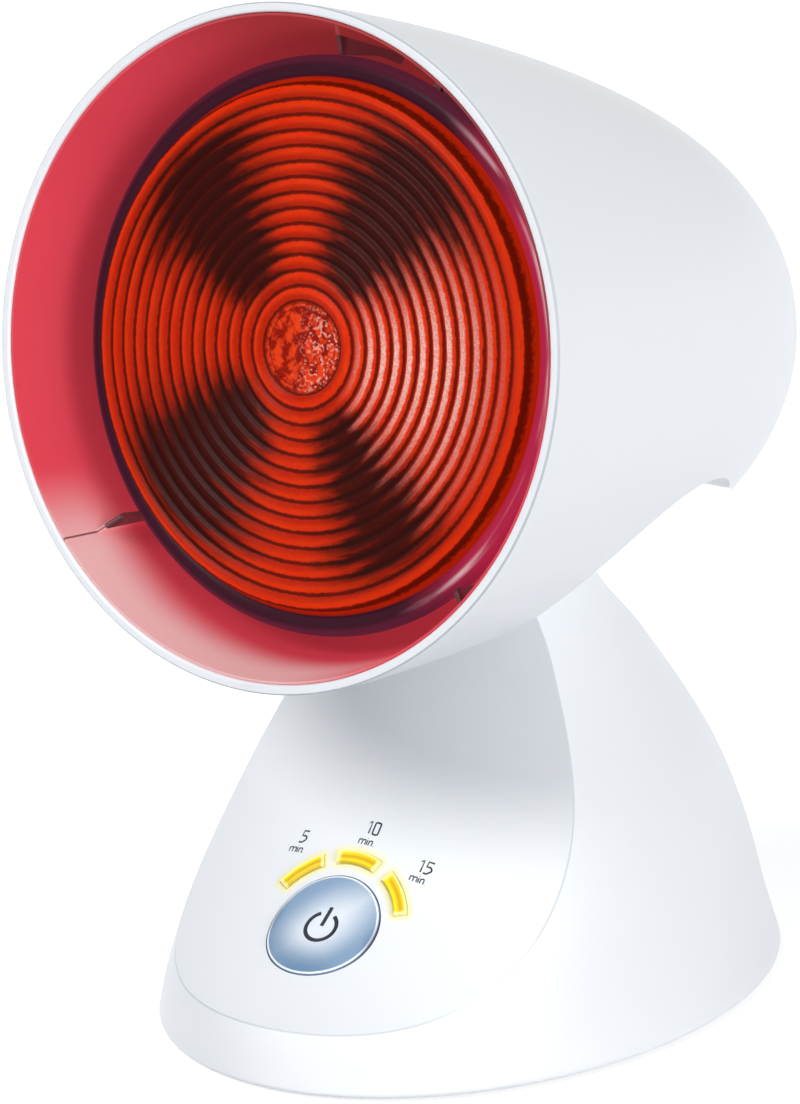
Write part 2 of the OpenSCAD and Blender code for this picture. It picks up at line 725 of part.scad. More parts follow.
module inner_shade() color("indianred") on_head() difference() {
  union() {
    lathe(concat(shade_in, shade_out));
    for (a = [90, -fin_drop, 180 + fin_drop]) rotate([0, -a, 0]) translate([0, 0, -fin_t / 2])
      linear_extrude(fin_t) intersection() {
        polygon(fin_shape);
        polygon(concat(shade_out, [[40, shade_mouth], [40, shade_len + shade_wall]]));
      }
  }
  for (a = shade_screw_angles) translate([shade_screw_r * cos(a), shade_len - 1, shade_screw_r * sin(a)])
    rotate([-90, 0, 0]) cylinder(r = screw_r + 0.2, h = 8);
}

module shade_screws() color("silver") on_head() for (a = shade_screw_angles)
  translate([shade_screw_r * cos(a), shade_len, shade_screw_r * sin(a)]) rotate([-90, 0, 0]) screw(8);

// ---- bulb ----

function lens_depth(r) = lens_edge - lens_bulge * (1 - (r / lens_r) ^ 2);
lens_front = [for (i = [0:2 * lens_ridges]) let (r = lens_r * i / (2 * lens_ridges))
  [r, lens_depth(r) - (i % 2 == 1 ? ridge_h : 0)]];
lens_back = [for (i = [12:-1:0]) let (r = lens_r * i / 12) [r, lens_depth(r) + glass_t]];

module bulb_lens() color("orangered") on_head() union() {
  lathe(concat(lens_front, [[bulb_r - bead_r, bead_depth - bead_r], [bulb_r - bead_r, bead_depth],
    [bulb_r - bead_r - 2, bead_depth]], lens_back));
  intersection() {
    translate([0, bead_depth, 0]) rotate([90, 0, 0]) rotate_extrude() translate([bulb_r - bead_r, 0])
      circle(bead_r, $fn = 48);
    lathe([[0, 0], [bulb_r + 5, 0], [bulb_r + 5, bead_depth], [0, bead_depth]]);
  }
}

// Body of the reflector: [radius, depth] outside, from the bead to the neck
reflector_out = [[bulb_r - 0.2, bead_depth], [bulb_r - 2.2, bead_depth + 5], [53, 40], [49, 50], [44, 60],
  [37.6, 70], [30, 80], [22.5, 91], [18.2, 99], [neck_r, 106], [neck_r, cap_start]];

module bulb_reflector() color("firebrick") on_head() lathe(concat(reflector_out,
  [for (i = [len(reflector_out) - 1:-1:0]) [reflector_out[i][0] - glass_t - (i == 0 ? 1 : 0),
    reflector_out[i][1]]]));

module bulb_screw_cap() color("silver") on_head() lathe(concat([[neck_r, cap_start], [cap_r,
    cap_start + 1.5]],
  [for (i = [1:9]) [cap_r - (i % 2 == 1 ? 0.6 : 0), cap_start + 1.5 + i * 2]],
  [[cap_r - 1.5, cap_end - 1], [cap_r - 3, cap_end], [5, cap_end], [5, cap_end - 0.5],
   [cap_r - 3.4, cap_end - 0.5], [cap_r - 1.2, cap_end - 3], [cap_r - 1.2, cap_start + 2.2],
   [neck_r - glass_t, cap_start]]));

module bulb_insulator() color("black") on_head()
  lathe([[0, cap_end], [cap_r - 3, cap_end], [4.5, cap_end + insulator_len], [0, cap_end + insulator_len]]);

module bulb_contact() color("silver") on_head() translate([0, cap_end + insulator_len, 0])
  rotate([-90, 0, 0]) cylinder(r1 = 4.2, r2 = 3.4, h = contact_len);

module bulb_filament() color("gray") on_head() translate([0, filament_depth, 0]) rotate([90, 0, 0])
  rotate_extrude(angle = 270) translate([filament_r, 0]) circle(0.6, $fn = 24);

module filament_supports() color("silver") on_head() {
  translate([0, cap_start - 6, 0]) rotate([-90, 0, 0]) cylinder(r = neck_r - glass_t - 0.05, h = 3);
  for (a = [0, 90, 180, 270]) translate([filament_r * cos(a), filament_depth + 0.65, filament_r * sin(a)])
    rotate([-90, 0, 0]) cylinder(r = 0.5, h = cap_start - 6 - filament_depth);
}

// ---- lampholder ----

module lampholder_body() color("ivory") on_head() difference() {
  lathe([[0, holder_start], [holder_r - 1, holder_start], [holder_r, holder_start + 1],
    [holder_r, holder_end], [0, holder_end]]);
  translate([0, holder_start - 1, 0]) rotate([-90, 0, 0])
    cylinder(r = holder_bore, h = holder_floor - holder_start + 1);
  for (s = [-1, 1]) translate([s * holder_screw_x, holder_end, 0]) rotate([90, 0, 0]) screw_hole(2.5);
  for (s = [-1, 1]) translate([s * lead_side, holder_end - 5, -holder_r - 1]) cylinder(r = wire_r, h = 4);
}

module lampholder_thread_shell() color("goldenrod") on_head() translate([0, holder_start + 1, 0])
  rotate([-90, 0, 0]) difference() {
    cylinder(r = thread_r + thread_wall, h = cap_len - 4);
    translate([0, 0, -1]) cylinder(r = thread_r, h = cap_len);
  }

module lampholder_contact() color("goldenrod") on_head()
  translate([-3.5, holder_floor - 1, -10]) cube([7, 1, 20]);

module lampholder_bracket() color("silver") on_head() difference() {
  union() {
    translate([-holder_plate_half, holder_end, holder_strip_u])
      cube([2 * holder_plate_half, bracket_t, holder_upright]);
    translate([-holder_plate_half, step_depth, holder_strip_u])
      cube([2 * holder_plate_half, holder_end - step_depth + eps, bracket_t]);
    translate([-holder_plate_half, step_depth, flange_u + arm_plate_t])
      cube([2 * holder_plate_half, bracket_t, holder_strip_u - flange_u - arm_plate_t + bracket_t]);
    translate([-holder_plate_half, pivot_depth + 10, flange_u + arm_plate_t])
      cube([2 * holder_plate_half, step_depth - pivot_depth - 10 + eps, bracket_t]);
    for (s = [-1, 1]) translate([s * arm_screw_x, pivot_depth + arm_screw_back, flange_u + arm_plate_t])
      cylinder(r = 4.5, h = bracket_t);
  }
  for (s = [-1, 1]) {
    translate([s * holder_screw_x, holder_end - 1, 0]) rotate([-90, 0, 0])
      cylinder(r = screw_r + 0.1, h = 5);
    translate([s * arm_screw_x, pivot_depth + arm_screw_back,
        flange_u]) cylinder(r = screw_r + 0.1, h = 10);
  }
  // slot that the leads run through
  translate([-lead_slot_half, step_depth - 1, flange_u + arm_plate_t + bracket_t])
    cube([2 * lead_slot_half, holder_end - step_depth, 10]);
}

module lampholder_screws() color("silver") on_head() for (s = [-1, 1])
  translate([s * holder_screw_x, holder_end + bracket_t, 0]) rotate([90, 0, 0]) screw(bracket_t + 2.5);

// ---- arm between head and base ----

module tilt_arm() color("gainsboro") on_pivot() difference() {
  union() {
    along_x(hub_r, hub_half);
    translate([-hub_half, -arm_d / 2, 0]) cube([arm_w, arm_d, pivot_drop + flange_u]);
    translate([-arm_plate_half, -arm_d / 2, pivot_drop + flange_u])
      cube([2 * arm_plate_half, arm_d / 2 + arm_plate_back, arm_plate_t]);
  }
  along_x(pin_r + pin_fit + bush_wall, hub_half + 1);
  translate([-channel_w / 2, -channel_d / 2, hub_r + 1]) cube([channel_w, channel_d, pivot_drop]);
  translate([-channel_w / 2, 0, lead_exit_up - 1.6]) cube([channel_w, arm_d, 3.2]);
  for (k = [-2:2]) rotate([k * stop_step, 0, 0]) translate([0, 0, -bump_reach])
    along_x(notch_r, hub_half + 1);
  for (x = [-1, 1]) for (y = [arm_screw_front, arm_screw_back])
    translate([x * arm_screw_x, y, pivot_drop + flange_u - 1]) cylinder(r = screw_r + 0.1, h = 8);
}

module arm_screws() color("silver") on_head() for (x = [-1, 1]) for (y = [arm_screw_front, arm_screw_back])
  translate([x * arm_screw_x, pivot_depth + y, flange_u + arm_plate_t + (y > 0 ? bracket_t : 0)])
    mirror([0, 0, 1]) screw(arm_plate_t + 2.5 + (y > 0 ? bracket_t : 0));

module pivot_bush() color("peru") translate([0, pivot_y, pivot_z]) difference() {
  along_x(pin_r + pin_fit + bush_wall, hub_half);
  along_x(pin_r + pin_fit, hub_half + 1);
}

module head_leads() color("crimson") on_head() for (s = [-1, 1]) wire([
  [s * lead_side, holder_end - 5, -holder_r + 2], [s * lead_side, holder_end - 5, -holder_r - 5],
  [s * lead_side, pivot_depth, -holder_r - 6.2], [s * lead_side, pivot_depth, lead_exit_up - pivot_drop],
  [s * lead_side, pivot_depth + arm_d / 2 + 2, lead_exit_up - pivot_drop]]);

module base_leads() color("crimson") for (s = [-1, 1]) wire([
  exit_point(s), [s * lead_side, 23, 79], [s * 3, 24, 60], [s * 4, 6, 44], panel_point(s * 4, 34.5),
  panel_point(s * 4, 29)]);
function exit_point(s) = let (d = arm_d / 2 + 2.8, u = lead_exit_up)
  [s * lead_side, pivot_y + d * cos(head_tilt) + u * sin(head_tilt),
   pivot_z - d * sin(head_tilt) + u * cos(head_tilt)];
function panel_point(x, y) = let (n = board_n - board_t - 5)
  [x, button_y + y * cos(panel_slope) - n * sin(panel_slope),
   button_z + y * sin(panel_slope) + n * cos(panel_slope)];

base_shell();
bottom_plate();
rubber_feet();
bottom_screws();
cord_bush();
pivot_bracket();
bracket_screws();
pivot_pin();
pivot_clip();
friction_washers();
detent_spring();
detent_screw();
control_board();
board_screws();
switch_body();
relay();
capacitor();
fuse();
terminal_block();
indicator_led_5();
indicator_led_10();
indicator_led_15();
timer_window_5();
timer_window_10();
timer_window_15();
base_leads();
power_button();
switch_plunger();
head_shell();
inner_shade();
shade_screws();
bulb_lens();
bulb_reflector();
bulb_screw_cap();
bulb_insulator();
bulb_contact();
bulb_filament();
filament_supports();
lampholder_body();
lampholder_thread_shell();
lampholder_contact();
lampholder_bracket();
lampholder_screws();
tilt_arm();
arm_screws();
pivot_bush();
head_leads();
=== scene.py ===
"""Looks of an infrared heat lamp: a deep white head with a red ridged bulb on a scooped base.

Everything is in metres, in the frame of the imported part: Z up, the lamp's front to -Y, the table at Z = 0.
"""

import json
import math

import bmesh
import bpy
from mathutils import Matrix, Vector


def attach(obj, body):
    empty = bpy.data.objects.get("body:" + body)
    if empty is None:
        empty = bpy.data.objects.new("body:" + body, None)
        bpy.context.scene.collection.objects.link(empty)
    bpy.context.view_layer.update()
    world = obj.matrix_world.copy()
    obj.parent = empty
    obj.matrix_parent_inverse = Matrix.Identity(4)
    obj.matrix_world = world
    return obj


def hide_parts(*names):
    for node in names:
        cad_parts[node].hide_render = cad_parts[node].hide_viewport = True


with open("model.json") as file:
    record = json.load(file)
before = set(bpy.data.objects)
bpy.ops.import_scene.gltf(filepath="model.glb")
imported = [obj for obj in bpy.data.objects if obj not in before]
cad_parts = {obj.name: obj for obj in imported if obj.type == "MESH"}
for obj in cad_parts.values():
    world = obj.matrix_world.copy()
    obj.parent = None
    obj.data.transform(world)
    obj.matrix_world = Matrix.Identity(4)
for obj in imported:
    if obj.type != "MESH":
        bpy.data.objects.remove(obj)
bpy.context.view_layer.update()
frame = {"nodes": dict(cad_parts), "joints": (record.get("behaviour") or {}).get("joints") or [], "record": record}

bl_info = {
    "name": "Infrared Heat Lamp",
    "version": (1, 0, 0),
    "blender": (4, 5, 0),
    "location": "View3D > Sidebar > Heat Lamp",
    "description": "Builds the visible pieces and finishes of an infrared heat lamp around its frame",
    "category": "Object",
}


# ---- sizes and colours that a user would change ----


def length(name, description, default):
    return bpy.props.FloatProperty(
        name=name, description=description, default=default, unit="LENGTH", precision=5)


def angle(name, description, degrees):
    return bpy.props.FloatProperty(
        name=name, description=description, default=math.radians(degrees), subtype="ANGLE")


def count(name, description, default):
    return bpy.props.IntProperty(name=name, description=description, default=default, min=3)


def srgb(red, green, blue):
    """A colour as it is seen, from 0 to 255, as the linear values that shaders take."""
    def linear(value):
        share = value / 255
        return share / 12.92 if share <= 0.04045 else ((share + 0.055) / 1.055) ** 2.4
    return (linear(red), linear(green), linear(blue))


def colour(name, description, red, green, blue):
    return bpy.props.FloatVectorProperty(
        name=name, description=description, default=srgb(red, green, blue), size=3,
        subtype="COLOR", min=0, max=1)


PIVOT = Vector(next(j for j in frame["joints"] if j["name"] == "head_tilt")["pos_m"])


class HeadSizes(bpy.types.PropertyGroup):
    """Sizes of the head, its inner shade and the saddle underneath."""
    rim_radius: length("Rim radius", "Outer radius of the head at its rim", 0.07133)
    depth: length("Depth", "Length of the head from its rim to its back", 0.15595)
    wall: length("Wall", "Wall of the head shell", 0.0021)
    tilt: angle("Tilt", "Angle of the lamp's axis above level", 10.73)
    pivot_depth: length("Pivot depth", "Distance of the pivot behind the rim", 0.0916)
    pivot_drop: length("Pivot drop", "Distance of the pivot below the lamp's axis", 0.0735)
    saddle_radius: length("Saddle radius", "Radius of the saddle at its middle", 0.0364)
    saddle_rise: length("Saddle rise", "Growth of the saddle's radius out to its sides", 0.0144)
    saddle_flat: length("Saddle flat", "Half width of the saddle's level middle", 0.016)
    saddle_width: length("Saddle width", "Half width at which the radius is full", 0.05)
    lip_round: length("Lip rounding", "Rounding of the rim's two edges", 0.0005)
    keel_half: length("Keel width", "Half width of the keel behind the saddle", 0.022)
    keel_end: length("Keel end", "Depth at which the keel ends", 0.1185)
    belly_depth: length("Belly depth", "Depth from which the belly beside the keel runs straight", 0.1004)
    belly_drop: length("Belly drop", "Distance of the belly below the lamp's axis there", 0.0251)
    belly_fall: angle("Belly fall", "Slope of the belly down to the head's back", 10)
    shade_mouth: length("Shade mouth", "Depth of the shade's front edge", 0.0006)
    shade_depth: length("Shade depth", "Depth at which the inner shade ends", 0.052)
    fin_thickness: length("Fin thickness", "Thickness of a fin beside the bulb", 0.0012)
    fin_drop: angle("Fin drop", "Angle of the two lower fins below level", 44.8)
    sides: count("Sides", "Number of faces around the head", 160)


class BulbSizes(bpy.types.PropertyGroup):
    """Sizes of the reflector bulb."""
    radius: length("Radius", "Radius of the bulb at its bead", 0.0605)
    bead_radius: length("Bead radius", "Radius of the round bead", 0.003)
    bead_depth: length("Bead depth", "Depth of the bead's middle behind the rim", 0.0187)
    lens_radius: length("Lens radius", "Radius of the ridged lens", 0.0546)
    lens_bulge: length("Lens bulge", "Bulge of the lens over its edge", 0.0025)
    lens_edge: length("Lens edge", "Depth of the lens edge behind the rim", 0.01295)
    ridge_height: length("Ridge height", "Height of the lens ridges", 0.0008)
    glass: length("Glass", "Thickness of the bulb's glass", 0.002)
    ridges: count("Ridges", "Number of ridge widths from the middle to the edge", 17)
    disc_ridges: count("Disc", "Number of ridge widths that the frosted middle covers", 3)


class BaseSizes(bpy.types.PropertyGroup):
    """Sizes of the base shell and its scooped front panel."""
    foot_width: length("Foot width", "Width of the foot", 0.12)
    foot_depth: length("Foot depth", "Depth of the foot, front to back", 0.1654)
    dome_height: length("Dome height", "Height of the dome before its top is cut", 0.108)
    foot_gap: length("Foot gap", "Height of the shell's edge over the table", 0.001)
    foot_round: length("Foot rounding", "Rounding of the foot's lower edge", 0.0015)
    wall: length("Wall", "Wall of the base shell", 0.0025)
    scoop_y: length("Scoop place", "Place of the scoop's arc centre, front to back", -0.1191)
    scoop_z: length("Scoop height", "Height of the scoop's arc centre", 0.1138)
    scoop_radius: length("Scoop radius", "Radius of the scoop on its middle line", 0.1067)
    crown_radius: length("Crown radius", "Radius of the panel's crown from side to side", 0.119)
    saddle_gap: length("Saddle gap", "Gap between the saddle and the dome's top", 0.001)
    sides: count("Sides", "Number of faces around the dome", 144)


class PanelSizes(bpy.types.PropertyGroup):
    """Sizes of the button, the timer windows and the lettering."""
    slope: angle("Slope", "Slope of the panel at the button", 36.7)
    button_radius: length("Button radius", "Radius of the button cap", 0.01293)
    button_gap: length("Button gap", "Gap around the button cap", 0.0002)
    button_proud: length("Button height", "Height of the button over the panel", 0.0004)
    window_arc: length("Window arc", "Radius of the arc that the windows lie on", 0.01745)
    window_width: length("Window width", "Width of a window", 0.00285)
    window_span: angle("Window span", "Angle that one window covers", 34.3)
    window_pitch: angle("Window pitch", "Angle from one window to the next", 45.9)
    window_shift: length("Window shift", "Sideways shift of the middle window", -0.0003)
    window_proud: length("Window height", "Height of the windows over the panel", 0.0006)
    digit_height: length("Digit height", "Height of the timer digits", 0.0027)
    letter_height: length("Letter height", "Height of the small letters", 0.00115)


class LampColours(bpy.types.PropertyGroup):
    """Colours of the visible pieces."""
    shell: colour("Shell", "Glossy white of head and base", 243, 245, 248)
    # the shade's pinkish red is painted red light of the bulb on it
    shade: colour("Shade", "Pinkish red of the inner shade", 222, 68, 84)
    lens: colour("Lens", "Orange red of the lit lens", 240, 40, 6)
    lens_dark: colour("Lens shadow", "Dark sectors of the lens", 48, 8, 4)
    bead: colour("Bead", "Dark plum of the bulb's bead", 62, 24, 40)
    # the button's pale middle and darker edge are painted light and shade on its satin blue grey
    button: colour("Button", "Blue grey of the button's edge", 138, 166, 195)
    button_middle: colour("Button middle", "Pale blue of the button's middle", 236, 242, 249)
    window: colour("Window", "Bright yellow of the timer windows", 250, 222, 20)
    ink: colour("Ink", "Dark print on the panel and button", 38, 44, 56)


def sizes_of(kind):
    """The scene's values of one of the groups above."""
    return getattr(bpy.context.scene, kind)


# ---- frames that the pieces are made in ----


def head_frame():
    """X across, Y back along the lamp's axis from the rim's middle, Z up."""
    head = sizes_of("lamp_head")
    return (Matrix.Translation(PIVOT) @ Matrix.Rotation(-head.tilt, 4, "X")
            @ Matrix.Translation((0, -head.pivot_depth, head.pivot_drop)))


def head_lathe_frame():
    """The head's frame with its axis along Z, for turned pieces."""
    return head_frame() @ Matrix.Rotation(math.radians(-90), 4, "X")


def button_place():
    base, slope = sizes_of("lamp_base"), sizes_of("lamp_panel").slope
    return Vector((0, base.scoop_y + base.scoop_radius * math.sin(slope),
                   base.scoop_z - base.scoop_radius * math.cos(slope)))


def panel_frame():
    """X across, Y up the panel's slope, Z out of it, from the middle of the button."""
    return Matrix.Translation(button_place()) @ Matrix.Rotation(sizes_of("lamp_panel").slope, 4, "X")


ALONG_X = Matrix.Rotation(math.radians(90), 4, "Y")
SIDEWAYS = Matrix.Rotation(math.radians(90), 4, "Z") @ Matrix.Rotation(math.radians(90), 4, "X")
ALONG_Y = Matrix.Rotation(math.radians(-90), 4, "X")


# ---- modelling steps ----


def deselect():
    if bpy.context.mode != "OBJECT":
        bpy.ops.object.mode_set(mode="OBJECT")
    bpy.ops.object.select_all(action="DESELECT")


def activate(piece):
    deselect()
    piece.select_set(True)
    bpy.context.view_layer.objects.active = piece


def begin_edit(piece, kind="VERT"):
    activate(piece)
    bpy.ops.object.mode_set(mode="EDIT")
    bpy.ops.mesh.select_mode(type=kind)


def end_edit():
    bpy.ops.object.mode_set(mode="OBJECT")


def pick(piece, kind, test):
    """Selects the vertices, edges or faces of the edited piece that pass the test."""
    mesh = bmesh.from_edit_mesh(piece.data)
    for group in (mesh.faces, mesh.edges, mesh.verts):
        for item in group:
            item.select_set(False)
    chosen = [item for item in getattr(mesh, kind) if test(item)]
    for item in chosen:
        item.select_set(True)
    bmesh.update_edit_mesh(piece.data)
    return len(chosen)


def traced(name, points, closed=False):
    """One vertex, extruded from point to point; left in edit mode."""
    deselect()
    bpy.ops.mesh.primitive_plane_add(size=0.001, location=(0, 0, 0))
    piece = bpy.context.object
    piece.name = name
    piece.data.name = name
    bpy.ops.object.mode_set(mode="EDIT")
    bpy.ops.mesh.select_mode(type="VERT")
    bpy.ops.mesh.select_all(action="SELECT")
    bpy.ops.mesh.merge(type="CENTER")
    bpy.ops.transform.translate(value=points[0])
    for here, there in zip(points, points[1:]):
        step = [b - a for a, b in zip(here, there)]
        bpy.ops.mesh.extrude_vertices_move(TRANSFORM_OT_translate={"value": step})
    if closed:
        bpy.ops.mesh.select_all(action="SELECT")
        bpy.ops.mesh.edge_face_add()
    return piece


def turned(name, outline, sides, closed=False):
    """Spins an outline of (radius, height) points about Z, as on a lathe."""
    points = [(radius, 0, height) for radius, height in outline]
    piece = traced(name, points + points[:1] if closed else points)
    bpy.ops.mesh.select_all(action="SELECT")
    bpy.ops.mesh.spin(steps=sides, angle=2 * math.pi, center=(0, 0, 0), axis=(0, 0, 1))
    bpy.ops.mesh.select_all(action="SELECT")
    bpy.ops.mesh.remove_doubles(threshold=1e-6)
    bpy.ops.mesh.normals_make_consistent(inside=False)
    end_edit()
    return piece


def prism(name, outline, low, high):
    """Fills an outline of (x, y) points and extrudes it from low to high."""
    piece = traced(name, [(x, y, low) for x, y in outline], closed=True)
    bpy.ops.mesh.extrude_region_move(TRANSFORM_OT_translate={"value": (0, 0, high - low)})
    bpy.ops.mesh.select_all(action="SELECT")
    bpy.ops.mesh.normals_make_consistent(inside=False)
    end_edit()
    return piece


def place(piece, matrix):
    """Puts a piece in place and leaves its object at the origin, with its place in its mesh."""
    activate(piece)
    piece.matrix_world = matrix
    bpy.ops.object.transform_apply(location=True, rotation=True, scale=True)
    return piece


def modify(piece, kind, **settings):
    activate(piece)
    modifier = piece.modifiers.new(kind.title(), kind)
    for key, value in settings.items():
        setattr(modifier, key, value)
    bpy.ops.object.modifier_apply(modifier=modifier.name)
    return piece


def combine(piece, tool, operation="DIFFERENCE"):
    """Cuts a tool out of a piece, or joins it on, and removes the tool."""
    modify(piece, "BOOLEAN", object=tool, operation=operation, solver="EXACT")
    bpy.data.objects.remove(tool)
    return piece


def clean(piece, threshold=1e-5):
    begin_edit(piece)
    bpy.ops.mesh.select_all(action="SELECT")
    bpy.ops.mesh.remove_doubles(threshold=threshold)
    bpy.ops.mesh.dissolve_degenerate(threshold=threshold)
    end_edit()
    return piece


def joined(name, pieces):
    """One piece out of several."""
    activate(pieces[0])
    for piece in pieces[1:]:
        piece.select_set(True)
    if len(pieces) > 1:
        bpy.ops.object.join()
    pieces[0].name = name
    pieces[0].data.name = name
    return pieces[0]


def hand_over(piece, body, finishes, replaces=(), smooth=35):
    """Gives a finished piece its materials and shading, and fixes it to its body."""
    piece.data.materials.clear()
    for finish in finishes:
        piece.data.materials.append(finish)
    activate(piece)
    bpy.ops.object.shade_smooth_by_angle(angle=math.radians(smooth))
    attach(piece, body)
    if replaces:
        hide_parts(*replaces)


def saddle_radius_at(x):
    head = sizes_of("lamp_head")
    share = (abs(x) - head.saddle_flat) / (head.saddle_width - head.saddle_flat)
    return head.saddle_radius + head.saddle_rise * math.sin(math.pi / 2 * min(1, max(0, share))) ** 2


def saddle_tool(extra, half):
    """Body of revolution about the pivot: the room under the head's saddle."""
    head = sizes_of("lamp_head")
    steps = 36
    wide = head.saddle_radius + head.saddle_rise + extra
    stations = [head.saddle_width * math.sin(math.pi * (i / steps - 0.5)) for i in range(steps + 1)]
    outline = ([(0, -half), (wide, -half)]
               + [(saddle_radius_at(x) + extra, x) for x in stations]
               + [(wide, half), (0, half)])
    return place(turned("saddle_tool", outline, 180), Matrix.Translation(PIVOT) @ ALONG_X)


def cut_belly(piece, extra):
    """Cuts the head's underside behind the pivot: a level keel between two falling flanks."""
    head = sizes_of("lamp_head")
    far, below, step = 0.2, -0.09, 0.0002
    wide = head.rim_radius + 0.006
    start, end = head.pivot_depth, head.keel_end - extra
    keel_half = head.keel_half - extra
    keel = head.saddle_radius - head.pivot_drop + step + extra

    def floor(depth):
        return extra - head.belly_drop - math.tan(head.belly_fall) * (depth - head.belly_depth)

    level = [(start, below), (far, below), (far, keel), (start, keel)]
    combine(piece, place(prism("keel_tool", level, -wide, wide), head_frame() @ SIDEWAYS))
    ahead = start - 0.0005
    around_keel = [(-wide, ahead), (-keel_half, ahead), (-keel_half, end), (keel_half, end),
                   (keel_half, ahead), (wide, ahead), (wide, far), (-wide, far)]
    flanks = place(prism("flank_tool", around_keel, below, 0), head_frame())
    ramp_start, margin = start + 0.001, 0.01
    climb = (floor(head.belly_depth) - keel) / (head.belly_depth - ramp_start)
    low = ramp_start - 2 * margin
    ceiling = [(low, keel - 2 * margin * climb), (head.belly_depth, floor(head.belly_depth)),
               (far + margin, floor(far + margin)), (far + margin, margin), (low, margin)]
    combine(flanks, place(prism("ceiling_tool", ceiling, -wide - margin, wide + margin),
                          head_frame() @ SIDEWAYS))
    return combine(piece, flanks)


# ---- materials ----


class Value:
    """A result inside a material, which can be reckoned with."""

    def __init__(self, finish, socket):
        self.finish = finish
        self.socket = socket

    def __add__(self, other):
        return self.finish.math("ADD", self, other)

    def __sub__(self, other):
        return self.finish.math("SUBTRACT", self, other)

    def __rsub__(self, other):
        return self.finish.math("SUBTRACT", other, self)

    def __mul__(self, other):
        return self.finish.math("MULTIPLY", self, other)

    def __truediv__(self, other):
        return self.finish.math("DIVIDE", self, other)

    def __abs__(self):
        return self.finish.math("ABSOLUTE", self)


class Finish:
    """A material built up from nodes on the Principled shader."""

    def __init__(self, name, **shader):
        self.material = bpy.data.materials.new(name)
        self.material.use_nodes = True
        self.nodes = self.material.node_tree.nodes
        self.links = self.material.node_tree.links
        self.shader = self.nodes["Principled BSDF"]
        for socket, value in shader.items():
            title = socket.replace("_", " ").title().replace("Ior", "IOR")
            self.shader.inputs[title].default_value = value

    def feed(self, socket, value):
        if isinstance(value, Value):
            self.links.new(value.socket, socket)
        elif hasattr(value, "__len__") and len(value) == 3 and socket.type == "RGBA":
            socket.default_value = (*value, 1)
        else:
            socket.default_value = value

    def node(self, kind, result, inputs, **settings):
        """Adds a node, feeds its inputs and gives one of its results."""
        node = self.nodes.new(kind)
        for key, value in settings.items():
            setattr(node, key, value)
        for key, value in inputs.items():
            self.feed(node.inputs[key], value)
        return Value(self, node.outputs[result])

    def point(self, matrix=None):
        """The surface's place, measured in a frame of its own."""
        where = self.node("ShaderNodeTexCoord", "Object", {})
        if matrix is None:
            return where
        return self.node("ShaderNodeMapping", 0, {
            "Vector": where, "Location": matrix.to_translation(), "Rotation": matrix.to_euler(),
        }, vector_type="TEXTURE")

    def split(self, vector):
        first = self.node("ShaderNodeSeparateXYZ", 0, {0: vector})
        return [Value(self, socket) for socket in first.socket.node.outputs]

    def vector(self, *values):
        return self.node("ShaderNodeCombineXYZ", 0, dict(enumerate(values)))

    def math(self, operation, *values):
        return self.node("ShaderNodeMath", 0, dict(enumerate(values)), operation=operation)

    def length(self, first, second):
        return self.math("SQRT", first * first + second * second)

    def largest(self, first, second):
        return self.math("MAXIMUM", first, second)

    def rise(self, value, low, high):
        """Goes softly from 0 at low to 1 at high; low may be the larger one."""
        first, last = (0, 1) if low <= high else (1, 0)
        return self.node("ShaderNodeMapRange", "Result", {
            "Value": value, "From Min": min(low, high), "From Max": max(low, high),
            "To Min": first, "To Max": last,
        }, interpolation_type="SMOOTHSTEP", clamp=True)

    def bell(self, value, middle, half):
        """1 at the middle, falling softly to 0 at half a width from it."""
        return self.rise(abs(value - middle), half, 0)

    def noise(self, vector, scale, detail=3, stretch=None):
        if stretch:
            vector = self.node("ShaderNodeMapping", 0, {"Vector": vector, "Scale": stretch})
        return self.node("ShaderNodeTexNoise", "Fac", {"Vector": vector, "Scale": scale, "Detail": detail})

    def mix(self, share, first, second):
        return self.node("ShaderNodeMix", 2, {0: share, 6: first, 7: second}, data_type="RGBA")

    def layers(self, tone, *layers):
        """Lays one colour after another over a tone, each by its share."""
        for share, cover in layers:
            tone = self.mix(share, tone, cover)
        return tone

    def colour(self, value):
        self.feed(self.shader.inputs["Base Color"], value)
        return self

    def rough(self, share, low, high):
        """Roughness that runs from low to high with share."""
        self.feed(self.shader.inputs["Roughness"], share * (high - low) + low)
        return self

    def bump(self, height, distance, strength=1.0):
        normal = self.node("ShaderNodeBump", "Normal", {
            "Strength": strength, "Distance": distance, "Height": height})
        self.feed(self.shader.inputs["Normal"], normal)
        return self

    def glow(self, value, strength):
        self.feed(self.shader.inputs["Emission Color"], value)
        self.feed(self.shader.inputs["Emission Strength"], strength)
        return self


def shifted(tone, factor):
    return tuple(min(1, value * factor) for value in tone)


def moulded(name, tone, low, high, grain=0.00001, scale=900, coat=0.0):
    """Moulded plastic: faint mottling, a fine grain in the surface and uneven gloss."""
    finish = Finish(name, coat_weight=coat, coat_roughness=0.12)
    where = finish.point()
    fine = finish.noise(where, scale, 2)
    finish.colour(finish.mix(finish.noise(where, 45), shifted(tone, 0.97), shifted(tone, 1.03)))
    return finish.rough(fine, low, high).bump(fine, grain, 0.5)


def metal(name, tone, low, high, stretch=(1, 1, 1), scale=700):
    """Drawn, rolled or plated metal, with fine lines along the way it was worked."""
    finish = Finish(name, metallic=1.0)
    where = finish.point()
    lines = finish.noise(where, scale, 4, stretch)
    finish.colour(finish.mix(finish.noise(where, 60), shifted(tone, 0.86), shifted(tone, 1.08)))
    return finish.rough(lines, low, high).bump(lines, 0.000008, 0.4)


